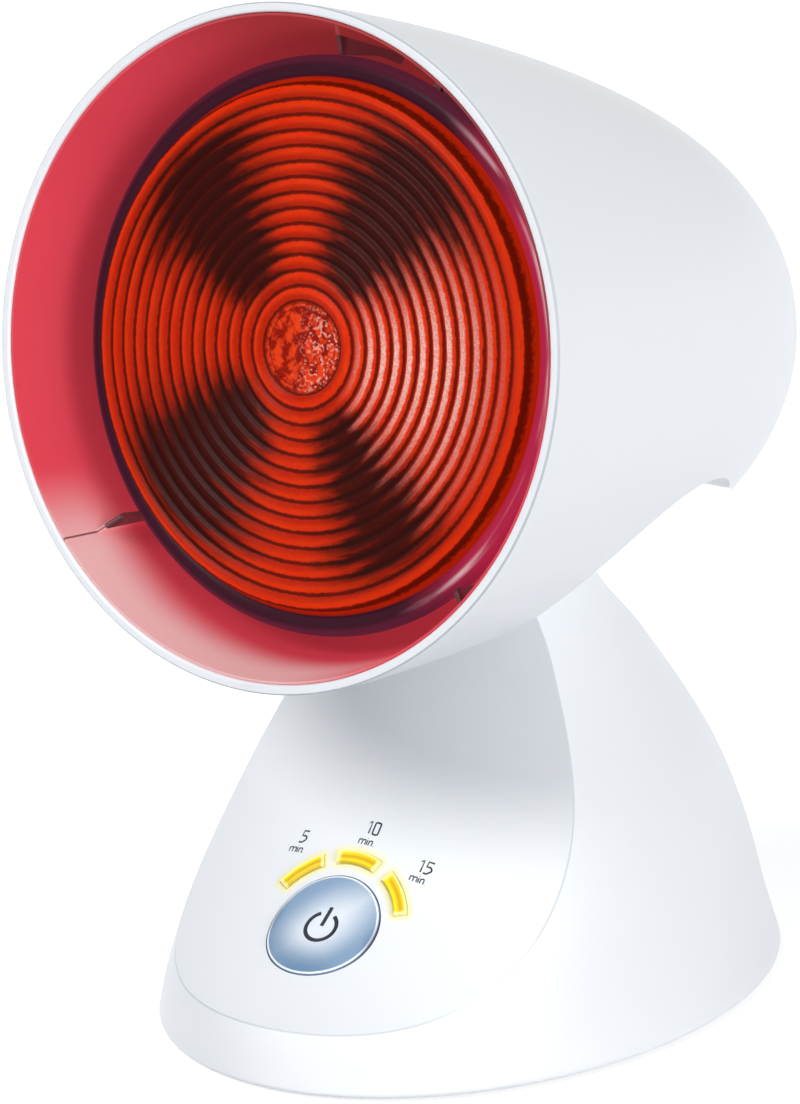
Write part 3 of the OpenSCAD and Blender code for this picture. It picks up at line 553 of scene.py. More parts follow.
def white_plastic(name):
    """Glossy white plastic with the faintest mottling, and its colour, which is still to be fed."""
    finish = Finish(name, coat_weight=0.12, coat_roughness=0.1, specular_ior_level=0.35)
    where = finish.point()
    tone = tuple(sizes_of("lamp_colours").shell)
    cloud = finish.noise(where, 30)
    finish.rough(cloud, 0.3, 0.32).bump(finish.noise(where, 1400, 2), 0.000003, 0.2)
    return finish, finish.mix(cloud, shifted(tone, 0.995), tone)


def white_shell(name):
    """White plastic with a painted grey shade line round the outer edge of the head's rim."""
    rim_radius = sizes_of("lamp_head").rim_radius
    finish, body = white_plastic(name)
    x, depth, up = finish.split(finish.point(head_frame()))
    # painted shade: a grey line along the rounded outer edge of the rim's front
    outer = finish.rise(finish.length(x, up), rim_radius - 0.0004, rim_radius - 0.00025)
    rim = outer * finish.rise(depth, 0.0007, 0.0004)
    return finish.colour(finish.mix(rim * 0.6, body, srgb(150, 158, 166)))


# ---- head ----


def bullet(inset, front, step=2.5):
    """Side view of the head as (radius, depth) points, from the rim back to the middle."""
    head = sizes_of("lamp_head")
    full_rim, full_back = 3.48, 1.18
    points = []
    for k in range(int(90 / step) + 1):
        t = math.radians(90 - k * step)
        depth = (head.depth - inset) * max(0, math.cos(t)) ** (2 / full_back)
        if depth > front:
            points.append(((head.rim_radius - inset) * math.sin(t) ** (2 / full_rim), depth))
    return points


def lip_curve(middle, way):
    """A quarter round of the rim's lip, which goes out or in from its middle radius."""
    lip = sizes_of("lamp_head").lip_round
    turns = [math.radians(a) for a in range(0, 91, 15)]
    return [(middle + way * lip * math.sin(a), lip * (1 - math.cos(a))) for a in turns]


def rim_outline():
    """Outside of the head from its open middle, round the flat rim and to the back."""
    head = sizes_of("lamp_head")
    lip = head.lip_round
    return [(0, 0)] + lip_curve(head.rim_radius - lip, 1) + bullet(0, 2 * lip)


def mouth_outline():
    """Inside of the head, from the open mouth in front of the rim to the back."""
    head = sizes_of("lamp_head")
    lip = head.lip_round
    middle = head.rim_radius - head.wall + lip
    return [(0, -lip), (middle, -lip)] + lip_curve(middle, -1) + bullet(head.wall, 2 * lip)


class LAMP_OT_head_shell(bpy.types.Operator):
    """Model the deep white head with its rounded lip and the saddle cut underneath"""
    bl_idname = "lamp.head_shell"
    bl_label = "Head shell"

    def execute(self, context):
        head = sizes_of("lamp_head")
        shell = place(turned("head_shell_skin", rim_outline(), head.sides), head_lathe_frame())
        combine(shell, saddle_tool(0, head.rim_radius + 0.006))
        clean(cut_belly(shell, 0))
        room = place(turned("head_room", mouth_outline(), head.sides), head_lathe_frame())
        combine(room, saddle_tool(head.wall, head.rim_radius + 0.006))
        clean(cut_belly(room, head.wall))
        combine(shell, room)
        # the slot that the tilt arm enters by
        half_width, half_depth = 0.00615, 0.00715
        corners = [(-half_width, -half_depth), (half_width, -half_depth),
                   (half_width, half_depth), (-half_width, half_depth)]
        slot = prism("arm_slot", corners, -head.pivot_drop, -head.saddle_radius)
        combine(shell, place(slot, head_frame() @ Matrix.Translation((0, head.pivot_depth, 0))))
        finish = white_shell("head_white")
        hand_over(shell, "head", [finish.material], ["head_shell"])
        return {"FINISHED"}


def shade_finish():
    """Satin shade whose pinkish red is painted red light of the bulb: painted shade turns it brown at the top,
    dark at the right and darker deeper in, painted white light flushes the bottom of its mouth, and it glows with
    painted light.
    """
    head, shade = sizes_of("lamp_head"), tuple(sizes_of("lamp_colours").shade)
    finish = Finish("shade_red", specular_ior_level=0.3, coat_weight=0.1, coat_roughness=0.3)
    rise = finish.rise
    where = finish.point(head_frame())
    x, depth, up = finish.split(where)
    radius = finish.length(x, up)
    height, side = up / radius, x / radius
    streaks = finish.noise(where, 40, 2, (1, 0.12, 1))
    # masks for painted shade at the top and at the right, and for painted white light low at the front
    top = rise(height, 0.5, 0.97) * rise(side, -0.75, -0.1)
    right = rise(side, 0.2, 0.75) * rise(height, -0.3, 0.4)
    low = rise(height, -0.5, -0.76) * rise(side, 0.62, 0.1)
    wave = finish.noise(where, 22, 1) * 0.006 + (depth - 0.003)
    # the red tone with painted shade deeper in, at the top and at the right, and painted white light at the bottom
    # of the mouth
    tone = finish.layers(
        finish.mix(streaks, shifted(shade, 0.93), shifted(shade, 1.05)),
        (rise(depth, 0.006, 0.03) * 0.55, srgb(196, 50, 64)),
        (top * 0.8, srgb(158, 52, 50)),
        (right * 0.75, srgb(112, 44, 46)),
        (rise(wave, 0.022, 0.007) * low * 0.85, srgb(234, 190, 190)))
    # fins, in painted shade that darkens to their front edges: near the plane of one, and inside the shade's wall,
    # which narrows with its depth
    wall_slope, wall_step, half = -0.17, 0.0042, head.fin_thickness / 2
    inside = rise(depth * wall_slope + (head.rim_radius - wall_step) - radius, 0, 0.0003)
    fin = finish.mix(rise(depth, 0.0145, 0.0125), srgb(112, 48, 54), srgb(84, 32, 38))
    for turn in fin_turns():
        across = abs(x * math.sin(turn) - up * math.cos(turn))
        ahead = rise(x * math.cos(turn) + up * math.sin(turn), 0, 0.01)
        tone = finish.mix(rise(across, half + 0.0003, half) * ahead * inside, tone, fin)
        # by the lower left fin, a painted shade line runs on to the rim
        if turn > math.pi:
            line = rise(across, 0.0003, 0.00018) * ahead * rise(depth, 0.0112, 0.0108)
            tone = finish.mix(line * 0.8, tone, srgb(96, 30, 40))
    # painted light: the shade glows with the bulb's light, over a base colour darkened to match
    finish.colour(finish.mix(0.4, tone, (0, 0, 0))).glow(tone, 0.45)
    return finish.rough(streaks, 0.42, 0.52).bump(finish.noise(where, 1200, 2), 0.000005, 0.25)


def fin_turns():
    """Angle of each fin about the lamp's axis, from the right side: top, lower right, lower left."""
    drop = sizes_of("lamp_head").fin_drop
    return math.pi / 2, -drop, math.pi + drop


class LAMP_OT_inner_shade(bpy.types.Operator):
    """Model the red shade inside the head, with its three fins beside the bulb"""
    bl_idname = "lamp.inner_shade"
    bl_label = "Inner shade"

    def execute(self, context):
        head = sizes_of("lamp_head")
        rim, wall = head.rim_radius, 0.0015
        lip_in, lip_out, mouth = rim - head.wall - 0.0007, rim - head.wall - 0.00025, head.shade_mouth
        hole, end = 0.0485, head.shade_depth
        outline = [(lip_in, mouth), (rim - 0.0059, 0.02), (rim - 0.0113, 0.04), (rim - 0.0155, end),
                   (hole, end), (hole, end + wall), (rim - 0.014, end + wall), (rim - 0.0096, 0.04),
                   (rim - 0.0043, 0.02), (lip_out, 0.0035), (lip_out, mouth)]
        shade = turned("inner_shade_skin", outline, head.sides, closed=True)
        place(shade, head_lathe_frame())
        corner, round_radius = (0.0609, 0.0121), 0.0016
        curve = [(corner[0] + round_radius * (1 - math.cos(a)), corner[1] + round_radius * (1 - math.sin(a)))
                 for a in (math.radians(d) for d in range(90, -1, -15))]
        side_view = [(rim - 0.0034, 0.0095)] + curve + [(0.06075, 0.026), (0.059, 0.034), (0.062, 0.036)]
        half = head.fin_thickness / 2
        for turn in fin_turns():
            fin = prism("fin", side_view, -half, half)
            modify(fin, "BEVEL", width=0.0003, segments=2, limit_method="ANGLE")
            place(fin, head_frame() @ Matrix.Rotation(-turn, 4, "Y"))
            combine(shade, fin, "UNION")
        finish = shade_finish()
        hand_over(shade, "head", [finish.material], ["inner_shade"])
        return {"FINISHED"}


# Dark sectors of the lens: middle and half width in degrees from the right side, and depth
LENS_SHADOWS = ((-54, 36, 0.9), (-131, 48, 1.0), (138, 44, 1.0), (60, 44, 1.0))


def lens_finish():
    """Lit red glass: dark cross of the filament's shadow, painted shade across each ridge and in the grooves,
    painted bright glints and highlight spots, and a bead with painted light and highlight streaks at its right.
    """
    colours, bulb = sizes_of("lamp_colours"), sizes_of("lamp_bulb")
    lit, dark = tuple(colours.lens), tuple(colours.lens_dark)
    finish = Finish("lens_red", specular_ior_level=0.05)
    rise, noise, full = finish.rise, finish.noise, 2 * math.pi
    where = finish.point(head_frame())
    x, _, up = finish.split(where)
    radius = finish.length(x, up)
    side, height = x / radius, up / radius
    grain = noise(where, 900, 2)
    rings = finish.vector(radius * 420, side * 2.4, height * 2.4)
    streak, fine_streak = noise(rings, 1, 4), noise(rings, 3.5)
    ridge = bulb.lens_radius / bulb.ridges
    disc_edge = ridge * bulb.disc_ridges
    phase = (grain - 0.5) * 0.16 + radius * (1 / ridge)
    groove = finish.math("COSINE", phase * full) * 0.5 + 0.5
    slope = finish.math("SINE", phase * full) * 0.5 + 0.5
    tone = finish.mix(fine_streak, shifted(lit, 0.82), finish.mix(streak, lit, srgb(255, 84, 24)))
    # painted shade across each ridge, darker on one side
    tone = finish.mix(slope * 0.6, tone, srgb(150, 20, 6))
    waver = (streak - 0.5) * 0.45 + finish.math("ARCTAN2", up, x)
    shadow = None
    for middle, half, strength in LENS_SHADOWS:
        sector = finish.bell(waver, math.radians(middle), math.radians(half)) * strength
        shadow = finish.largest(shadow, sector) if shadow else sector
    fade = rise(radius, 0.010, 0.020) * rise(radius, 0.057, 0.046)
    shade = shadow * fade + (fine_streak - 0.5) * 0.5
    speckle = rise(noise(where, 2600, 1), 0.4, 0.6)
    glint_zone = rise(radius, 0.012, 0.020) * rise(radius, 0.054, 0.036)
    right = finish.bell(waver, 0, math.radians(50))
    # painted: the shadow sectors, dark shade in the grooves and pale highlight glints on the ridges at the right
    tone = finish.layers(
        tone,
        (rise(shade + groove * 0.2, 0.12, 0.95) * 0.97, dark),
        (rise(groove, 0.72, 0.97) * 0.8, shifted(dark, 0.8)),
        (rise(groove, 0.5, 0.12) * right * glint_zone * (speckle * 0.4 + 0.6), srgb(255, 204, 190)))
    # painted highlight spots at the frosted disc's right
    spots = rise(noise(where, 1500, 2), 0.52, 0.64) * rise(x, -0.003, 0.005)
    disc = finish.mix(rise(noise(where, 520), 0.40, 0.60), srgb(150, 22, 8), srgb(238, 66, 24))
    disc = finish.mix(spots * 0.75, disc, srgb(255, 176, 160))
    for share in (0.86, 0.96):
        disc = finish.mix(finish.bell(radius, disc_edge * share, 0.0003) * 0.6, disc, srgb(110, 14, 6))
    tone = finish.mix(rise(radius, disc_edge - 0.0004, disc_edge), disc, tone)
    # bead: dark plum, with painted crimson light and pale painted highlight streaks at its right
    flank = rise((streak - 0.5) * 0.3 + side, 0.45, 0.85)
    line = finish.bell(radius, bulb.radius - 0.0022, 0.0009) * flank * rise(streak, 0.35, 0.6)
    plum = finish.layers(
        tuple(colours.bead),
        (rise(radius, bulb.radius - 0.0024, bulb.radius - 0.0008), srgb(96, 38, 60)),
        (flank, srgb(186, 42, 78)),
        (line * 0.85, srgb(252, 214, 222)))
    tone = finish.mix(rise(radius, bulb.lens_radius + 0.001, bulb.lens_radius + 0.0016), tone, plum)
    finish.colour(finish.mix(0.6, tone, (0, 0, 0))).glow(tone, 0.55)
    return finish.rough(grain, 0.3, 0.4).bump(grain, 0.00002, 0.4)


class LAMP_OT_bulb_lens(bpy.types.Operator):
    """Model the bulb's lens with its concentric ridges and the round bead at its edge"""
    bl_idname = "lamp.bulb_lens"
    bl_label = "Bulb lens"

    def execute(self, context):
        bulb, head = sizes_of("lamp_bulb"), sizes_of("lamp_head")
        per_ridge = 6
        front = []
        for i in range(bulb.ridges * per_ridge + 1):
            r = bulb.lens_radius * i / (bulb.ridges * per_ridge)
            wave = (0.5 - 0.5 * math.cos(2 * math.pi * i / per_ridge)) * (i > bulb.disc_ridges * per_ridge)
            depth = bulb.lens_edge - bulb.lens_bulge * (1 - (r / bulb.lens_radius) ** 2)
            front.append((r, depth - bulb.ridge_height * wave))
        bead_at = bulb.radius - bulb.bead_radius
        bead = [(bead_at + bulb.bead_radius * math.cos(a), bulb.bead_depth - bulb.bead_radius * math.sin(a))
                for a in (math.radians(d) for d in range(135, -1, -9))]
        inside = [(bead_at - bulb.glass, bulb.bead_depth)]
        inside += [(bulb.lens_radius * k / 12,
                    bulb.lens_edge - bulb.lens_bulge * (1 - (k / 12) ** 2) + bulb.glass)
                   for k in range(12, -1, -1)]
        lens = turned("bulb_lens_skin", front + bead + inside, 192)
        place(lens, head_lathe_frame())
        hand_over(lens, "head", [lens_finish().material], ["bulb_lens"], smooth=60)
        return {"FINISHED"}


# ---- base ----

# Dome outline: share of the height, of the half width and of the half depth, then the middle's shift
DOME_STATIONS = (
    (0, 1, 1, 0), (0.111, 0.942, 0.967, -0.0011), (0.278, 0.878, 0.871, 0.0001),
    (0.463, 0.768, 0.739, 0.0008), (0.694, 0.558, 0.553, -0.0019), (0.806, 0.45, 0.447, -0.0045),
    (1, 0.233, 0.29, -0.003))


def dome_slope(i, column):
    before = DOME_STATIONS[max(i - 1, 0)]
    after = DOME_STATIONS[min(i + 1, len(DOME_STATIONS) - 1)]
    return (after[column] - before[column]) / (after[0] - before[0])


def dome_value(share, column):
    """Smooth blend through the stations at a share of the dome's height."""
    i = max(k for k in range(len(DOME_STATIONS) - 1) if k == 0 or share >= DOME_STATIONS[k][0])
    p, q = DOME_STATIONS[i], DOME_STATIONS[i + 1]
    width = q[0] - p[0]
    t = (share - p[0]) / width
    return (p[column] * (2 * t ** 3 - 3 * t ** 2 + 1) + q[column] * (3 * t ** 2 - 2 * t ** 3)
            + dome_slope(i, column) * width * (t ** 3 - 2 * t ** 2 + t)
            + dome_slope(i + 1, column) * width * (t ** 3 - t ** 2))


def dome_solid(name, inset, drop):
    """The dome: a circle extruded upwards, each ring stretched to the dome's oval there."""
    base = sizes_of("lamp_base")
    steps = 44
    rounding = [base.foot_round * (1 - math.cos(math.radians(a))) for a in (0, 22, 45, 68)]
    levels = rounding + [base.foot_round + (base.dome_height - base.foot_round) * i / steps
                         for i in range(steps + 1)]

    def ring(z):
        share = z / base.dome_height
        left = max(0, base.foot_round - z)
        turn = base.foot_round - math.sqrt(base.foot_round ** 2 - left ** 2)
        return (base.foot_width / 2 * dome_value(share, 1) - inset - turn,
                base.foot_depth / 2 * dome_value(share, 2) - inset - turn, dome_value(share, 3))

    half_x, half_y, middle = ring(0)
    deselect()
    bpy.ops.mesh.primitive_circle_add(vertices=base.sides, radius=1, fill_type="NGON", location=(0, 0, 0))
    dome = bpy.context.object
    dome.name = name
    bpy.ops.object.mode_set(mode="EDIT")
    bpy.ops.mesh.select_mode(type="FACE")
    bpy.ops.mesh.select_all(action="SELECT")
    bpy.ops.transform.resize(value=(half_x, half_y, 1), center_override=(0, 0, 0))
    bpy.ops.transform.translate(value=(0, middle, base.foot_gap - drop))
    for low, high in zip(levels, levels[1:]):
        old_x, old_y, old_middle = ring(low)
        new_x, new_y, new_middle = ring(high)
        rise = (0, new_middle - old_middle, high - low)
        bpy.ops.mesh.extrude_region_move(TRANSFORM_OT_translate={"value": rise})
        bpy.ops.transform.resize(value=(new_x / old_x, new_y / old_y, 1),
                                 center_override=(0, new_middle, base.foot_gap - drop + high))
    bpy.ops.mesh.select_all(action="SELECT")
    bpy.ops.mesh.normals_make_consistent(inside=False)
    end_edit()
    return dome


def scoop_tool(proud):
    """Round tool that scoops out the front panel; its radius grows to the sides."""
    base = sizes_of("lamp_base")
    half, steps = base.foot_width / 2, 40
    stations = [half * (2 * i / steps - 1) for i in range(steps + 1)]
    outline = [(0, -half)]
    outline += [(base.scoop_radius - proud + base.crown_radius
                 - math.sqrt(base.crown_radius ** 2 - x ** 2), x) for x in stations]
    outline += [(0, half)]
    return place(turned("scoop_tool", outline, 300),
                 Matrix.Translation((0, base.scoop_y, base.scoop_z)) @ ALONG_X)


def cap_tool(inset):
    """What is cut off the dome so that its top follows the saddle, with a ledge at the back."""
    base = sizes_of("lamp_base")
    low, high, reach = math.radians(8), math.radians(172), 0.095
    corners = [(0, 0), (reach * math.cos(low), reach * math.sin(low)), (reach, reach), (-reach, reach),
               (reach * math.cos(high), reach * math.sin(high))]
    block = prism("cap_tool", corners, -base.foot_width / 2, base.foot_width / 2)
    place(block, Matrix.Translation(PIVOT - Vector((0, 0, inset))) @ SIDEWAYS)
    return combine(block, saddle_tool(-base.saddle_gap - inset, base.foot_width / 2 + 0.001))


def cylinder(name, radius, low, high, matrix, sides=96):
    """A cylinder from low to high on its frame's Z axis."""
    return place(turned(name, [(0, low), (radius, low), (radius, high), (0, high)], sides), matrix)


def panel_rise(x, y):
    """Height of the scooped panel over its tangent plane at the button."""
    base = sizes_of("lamp_base")
    radius = base.scoop_radius + base.crown_radius - math.sqrt(base.crown_radius ** 2 - x ** 2)
    return base.scoop_radius - math.sqrt(radius ** 2 - y ** 2)


def drape(piece, above=-1.0):
    """Bends a piece made flat in the panel's frame so that it follows the panel."""
    for vertex in piece.data.vertices:
        if vertex.co.z > above:
            vertex.co.z += panel_rise(vertex.co.x, vertex.co.y)
    return piece


def window_outline(i, grow, steps=12):
    """Arc-shaped outline of a timer window in the panel's frame."""
    panel = sizes_of("lamp_panel")
    middle = (i - 1) * panel.window_pitch
    half = panel.window_span / 2 + grow / panel.window_arc
    shift = panel.window_shift if i == 1 else 0
    turns = [middle - half + 2 * half * k / steps for k in range(steps + 1)]
    outer = panel.window_arc + panel.window_width / 2 + grow
    inner = panel.window_arc - panel.window_width / 2 - grow
    return ([(shift + outer * math.sin(t), outer * math.cos(t)) for t in turns]
            + [(shift + inner * math.sin(t), inner * math.cos(t)) for t in reversed(turns)])


def arm_slot_outline():
    """Side view of the slot that the arm swings in, about the pivot."""
    head = sizes_of("lamp_head")
    reach = math.asin(0.007 / (head.saddle_radius - 0.005)) + math.radians(23)
    up = math.pi / 2 - head.tilt
    spots = ((0.02, -reach), (0.06, -reach), (0.07, 0), (0.06, reach), (0.02, reach))
    return [(r * math.cos(up + turn), r * math.sin(up + turn)) for r, turn in spots]


def window_gap(finish, across, along):
    """Distance from the nearest timer window, place across its width and along its pitch, and reach."""
    panel = sizes_of("lamp_panel")
    off = finish.length(across, along) - panel.window_arc
    turn = finish.math("ARCTAN2", across, along)
    from_middle = abs(finish.math("FRACT", turn * (1 / panel.window_pitch) + 0.5) - 0.5)
    beside = from_middle * (panel.window_pitch * panel.window_arc) - panel.window_span / 2 * panel.window_arc
    over = abs(off) - panel.window_width / 2
    gap = finish.length(finish.largest(beside, 0), finish.largest(over, 0))
    end = 1.5 * panel.window_pitch
    return gap, off, from_middle, finish.rise(abs(turn), end + 0.02, end)


def base_finish():
    """White shell, with a fine grey line along the panel's edge, yellow light by the windows and painted shade in
    the gap round each window.
    """
    base = sizes_of("lamp_base")
    finish, body = white_plastic("base_white")
    rise = finish.rise
    x, y, z = finish.split(finish.point())
    crown = finish.math("SQRT", base.crown_radius ** 2 - x * x)
    rho = (base.scoop_radius + base.crown_radius) - crown
    behind = finish.length(y - base.scoop_y, z - base.scoop_z) - rho
    across, along, _ = finish.split(finish.point(panel_frame()))
    gap, _, _, known = window_gap(finish, across, along)
    on_panel = rise(behind, 0.0004, 0.0001) * known
    return finish.colour(finish.layers(
        body,
        (rise(behind, 0.00042, 0.0002) * rise(behind, 0.00001, 0.00004) * 0.5, srgb(172, 178, 186)),
        (rise(gap, 0.0021, 0.0002) * on_panel * 0.75, srgb(255, 243, 160)),
        # painted shade in the gap round each window
        (finish.bell(gap, 0.00018, 0.00022) * on_panel * 0.55, srgb(132, 134, 120))))


class LAMP_OT_base_shell(bpy.types.Operator):
    """Model the white base: a dome with its front scooped out and its top cut to the saddle"""
    bl_idname = "lamp.base_shell"
    bl_label = "Base shell"

    def execute(self, context):
        base, panel = sizes_of("lamp_base"), sizes_of("lamp_panel")
        inlet_height, inlet_face, inlet_radius = 0.014, 0.0815, 0.0055
        collar_radius, collar_length, bore_length, slot_half = 0.0085, 0.014, 0.02, 0.0066
        inlet = Matrix.Translation((0, 0, inlet_height)) @ ALONG_Y
        shell = dome_solid("base_shell_skin", 0, 0)
        combine(shell, scoop_tool(0))
        combine(shell, cap_tool(0))
        collar = cylinder("collar", collar_radius, inlet_face - collar_length, inlet_face, inlet)
        combine(shell, collar, "UNION")
        clean(shell, 0.00005)
        room = dome_solid("room", base.wall * 1.15, 0.001)
        combine(room, scoop_tool(-base.wall))
        combine(room, cap_tool(base.wall))
        combine(shell, room)
        low, high = -0.02, 0.02
        hole = cylinder("button_hole", panel.button_radius + panel.button_gap, low, high, panel_frame())
        combine(shell, hole)
        for i in range(3):
            combine(shell, place(prism("window_hole", window_outline(i, 0.00012), low, high), panel_frame()))
        slot = prism("arm_slot", arm_slot_outline(), -slot_half, slot_half)
        combine(shell, place(slot, Matrix.Translation(PIVOT) @ SIDEWAYS))
        bore = cylinder("inlet_bore", inlet_radius, inlet_face - bore_length, inlet_face + 0.001, inlet)
        combine(shell, bore)
        hand_over(shell, "root", [base_finish().material], ["base_shell"])
        return {"FINISHED"}


# ---- panel ----


def button_finish():
    """Satin blue-grey cap with a fine metallic speckle; painted light makes it pale in the middle and painted
    shade darker to its edge.
    """
    colours, cap_radius = sizes_of("lamp_colours"), sizes_of("lamp_panel").button_radius
    finish = Finish("button_blue", specular_ior_level=0.3)
    rise = finish.rise
    across, along, out = finish.split(finish.point(panel_frame()))
    speckle = finish.noise(finish.point(), 3200, 2)
    # painted light and shade: pale along a slanting line through the middle, darker to the edge and most at the
    # lower left
    slant = abs(across * 0.8 - along * 0.6)
    radius = finish.length(across, along)
    shade_reach = (speckle - 0.5) * 0.002 + (radius * 0.62 + slant * 0.62)
    finish.colour(finish.layers(
        finish.mix(rise(shade_reach, 0.0015, 0.0135), tuple(colours.button_middle), tuple(colours.button)),
        (rise(across * 0.35 + along, -0.003, -0.0125) * 0.75, srgb(96, 134, 170)),
        # a pale ring on the rounded edge, then painted shade at the gap round the cap and down its side
        (rise(radius, cap_radius - 0.00066, cap_radius - 0.00056), srgb(246, 249, 252)),
        (rise(radius, cap_radius - 0.00022, cap_radius - 0.00014), srgb(118, 142, 170)),
        (rise(out, 0.0, -0.0006), srgb(60, 76, 98))))
    return finish.rough(speckle, 0.36, 0.46).bump(speckle, 0.000006, 0.3)


def ink_finish():
    finish = Finish("panel_ink", specular_ior_level=0.3)
    speckle = finish.noise(finish.point(), 4000, 2)
    tone = tuple(sizes_of("lamp_colours").ink)
    finish.colour(finish.mix(speckle, shifted(tone, 0.8), shifted(tone, 1.2)))
    return finish.rough(speckle, 0.4, 0.55).bump(speckle, 0.000005, 0.4)


def stroke(points, width, closed=False):
    """A line of print: a thin round curve through (x, y) points, flattened to a film."""
    film = 0.18
    deselect()
    bpy.ops.curve.primitive_bezier_curve_add(location=(0, 0, 0))
    line = bpy.context.object
    line.data.splines.clear()
    spline = line.data.splines.new("POLY")
    spline.points.add(len(points) - 1)
    for spot, (x, y) in zip(spline.points, points):
        spot.co = (x, y, 0, 1)
    spline.use_cyclic_u = closed
    line.data.bevel_depth = width / 2
    line.data.bevel_resolution = 2
    line.data.use_fill_caps = not closed
    bpy.ops.object.convert(target="MESH")
    line = bpy.context.object
    bpy.ops.object.mode_set(mode="EDIT")
    bpy.ops.mesh.select_all(action="SELECT")
    bpy.ops.transform.resize(value=(1, 1, film), center_override=(0, 0, 0))
    bpy.ops.mesh.normals_make_consistent(inside=False)
    end_edit()
    return line


def arc(middle, radius_x, radius_y, start, end, steps=8):
    turns = [math.radians(start + (end - start) * k / steps) for k in range(steps + 1)]
    return [(middle[0] + radius_x * math.cos(t), middle[1] + radius_y * math.sin(t)) for t in turns]


# Strokes of each character in a cell one high; the width of the cell comes first
GLYPHS = {
    "1": (0.46, [[(0.08, 0.86), (0.26, 1.0), (0.26, 0.0)]]),
    "5": (0.62, [[(0.56, 1.0), (0.14, 1.0), (0.10, 0.58)] + arc((0.28, 0.36), 0.26, 0.24, 75, -62, 9)
                 + [(0.28, 0.0), (0.02, 0.0)]]),
    "0": (0.60, [arc((0.40, 0.86), 0.12, 0.14, 0, 90, 4) + arc((0.20, 0.86), 0.12, 0.14, 90, 180, 4)
                 + arc((0.20, 0.14), 0.12, 0.14, 180, 270, 4) + arc((0.40, 0.14), 0.12, 0.14, 270, 360, 4)
                 + [(0.52, 0.86)]]),
    "m": (1.32, [[(0.06, 0.0), (0.06, 1.0)], [(0.06, 0.78)] + arc((0.42, 0.78), 0.18, 0.2, 120, 0, 5)
                 + [(0.60, 0.0)], [(0.60, 0.78)] + arc((0.96, 0.78), 0.18, 0.2, 120, 0, 5) + [(1.14, 0.0)]]),
    "i": (0.33, [[(0.08, 0.0), (0.08, 1.0)], [(0.08, 1.32), (0.08, 1.40)]]),
    "n": (0.80, [[(0.06, 0.0), (0.06, 1.0)], [(0.06, 0.78)] + arc((0.42, 0.78), 0.18, 0.2, 120, 0, 5)
                 + [(0.60, 0.0)]]),
    ".": (0.26, [[(0.06, 0.0), (0.06, 0.07)]]),
}


def lettering(name, words, height, width, middle, stretch):
    """Words written in strokes about a middle point of the panel, stretched sideways."""
    total = sum(GLYPHS[letter][0] for letter in words) * height * stretch
    x = middle[0] - total / 2
    low = middle[1] - height / 2
    lines = []
    for letter in words:
        cell, strokes = GLYPHS[letter]
        for points in strokes:
            lines.append(stroke([(x + px * height * stretch, low + py * height) for px, py in points], width))
        x += cell * height * stretch
    return joined(name, lines)


class LAMP_OT_button(bpy.types.Operator):
    """Model the push button with its shallow cap and the printed power symbol"""
    bl_idname = "lamp.button"
    bl_label = "Power button"

    def execute(self, context):
        panel = sizes_of("lamp_panel")
        radius, edge, proud = panel.button_radius, 0.0005, panel.button_proud
        skirt, flange, lip = -0.0065, 0.0011, 0.0008
        rings = [(radius - edge) * k / 16 for k in range(17)]
        top = [(r, proud) for r in rings]
        turn = [(radius - edge + edge * math.sin(math.radians(a)),
                 proud - edge + edge * math.cos(math.radians(a))) for a in (30, 60, 90)]
        wall = [(radius, skirt - 0.0001), (radius + flange, skirt - 0.0001),
                (radius + flange, skirt - 0.0001 - lip), (radius - 0.0016, skirt - 0.0001 - lip),
                (radius - 0.0016, -0.0022), (0.0026, -0.0022), (0.0026, -0.0081), (0, -0.0081)]
        cap = turned("power_button_skin", top + turn + wall, 128)
        drape(cap, above=-0.001)
        place(cap, panel_frame())
        hand_over(cap, "button", [button_finish().material], ["power_button"], smooth=40)
        ring_radius, weight, opening, bar_top = 0.00357, 0.00094, 29, 0.0049
        middle = -0.0002
        around = arc((middle, middle), ring_radius, ring_radius, 90 + opening, 450 - opening, 48)
        ring = stroke(around, weight)
        bar = stroke([(middle, bar_top * k / 14) for k in range(15)], weight)
        symbol = joined("power_symbol", [ring, bar])
        for vertex in symbol.data.vertices:
            vertex.co.z += panel.button_proud
        drape(symbol)
        place(symbol, panel_frame())
        hand_over(symbol, "button", [ink_finish().material])
        return {"FINISHED"}


def window_finish():
    """Lit yellow light guide: golden trough, olive inner edge, paler ends and outer edge, and painted shade where
    it sinks below the panel.
    """
    panel = sizes_of("lamp_panel")
    tone = tuple(sizes_of("lamp_colours").window)
    finish = Finish("window_yellow", specular_ior_level=0.4)
    rise = finish.rise
    across, along, out = finish.split(finish.point(panel_frame()))
    wave = finish.noise(finish.point(), 260, 2)
    _, off, from_middle, _ = window_gap(finish, across, along)
    ends = rise(from_middle * (panel.window_pitch / panel.window_span), 0.40, 0.48)
    body = finish.layers(
        tone,
        (finish.bell(off, 0.0001, 0.0010) * rise(wave, 0.2, 0.55) * 0.85, srgb(204, 152, 0)),
        (rise(off, -0.0009, -0.00125) * 0.7, srgb(178, 150, 30)),
        (finish.largest(rise(off, 0.0009, 0.0012), ends) * 0.6, srgb(255, 250, 190)),
        # painted shade below the panel's surface
        (rise(out, -0.001, -0.004), shifted(tone, 0.4)))
    return finish.colour(body).glow(body, 0.2).rough(wave, 0.2, 0.3).bump(wave, 0.00002, 0.3)


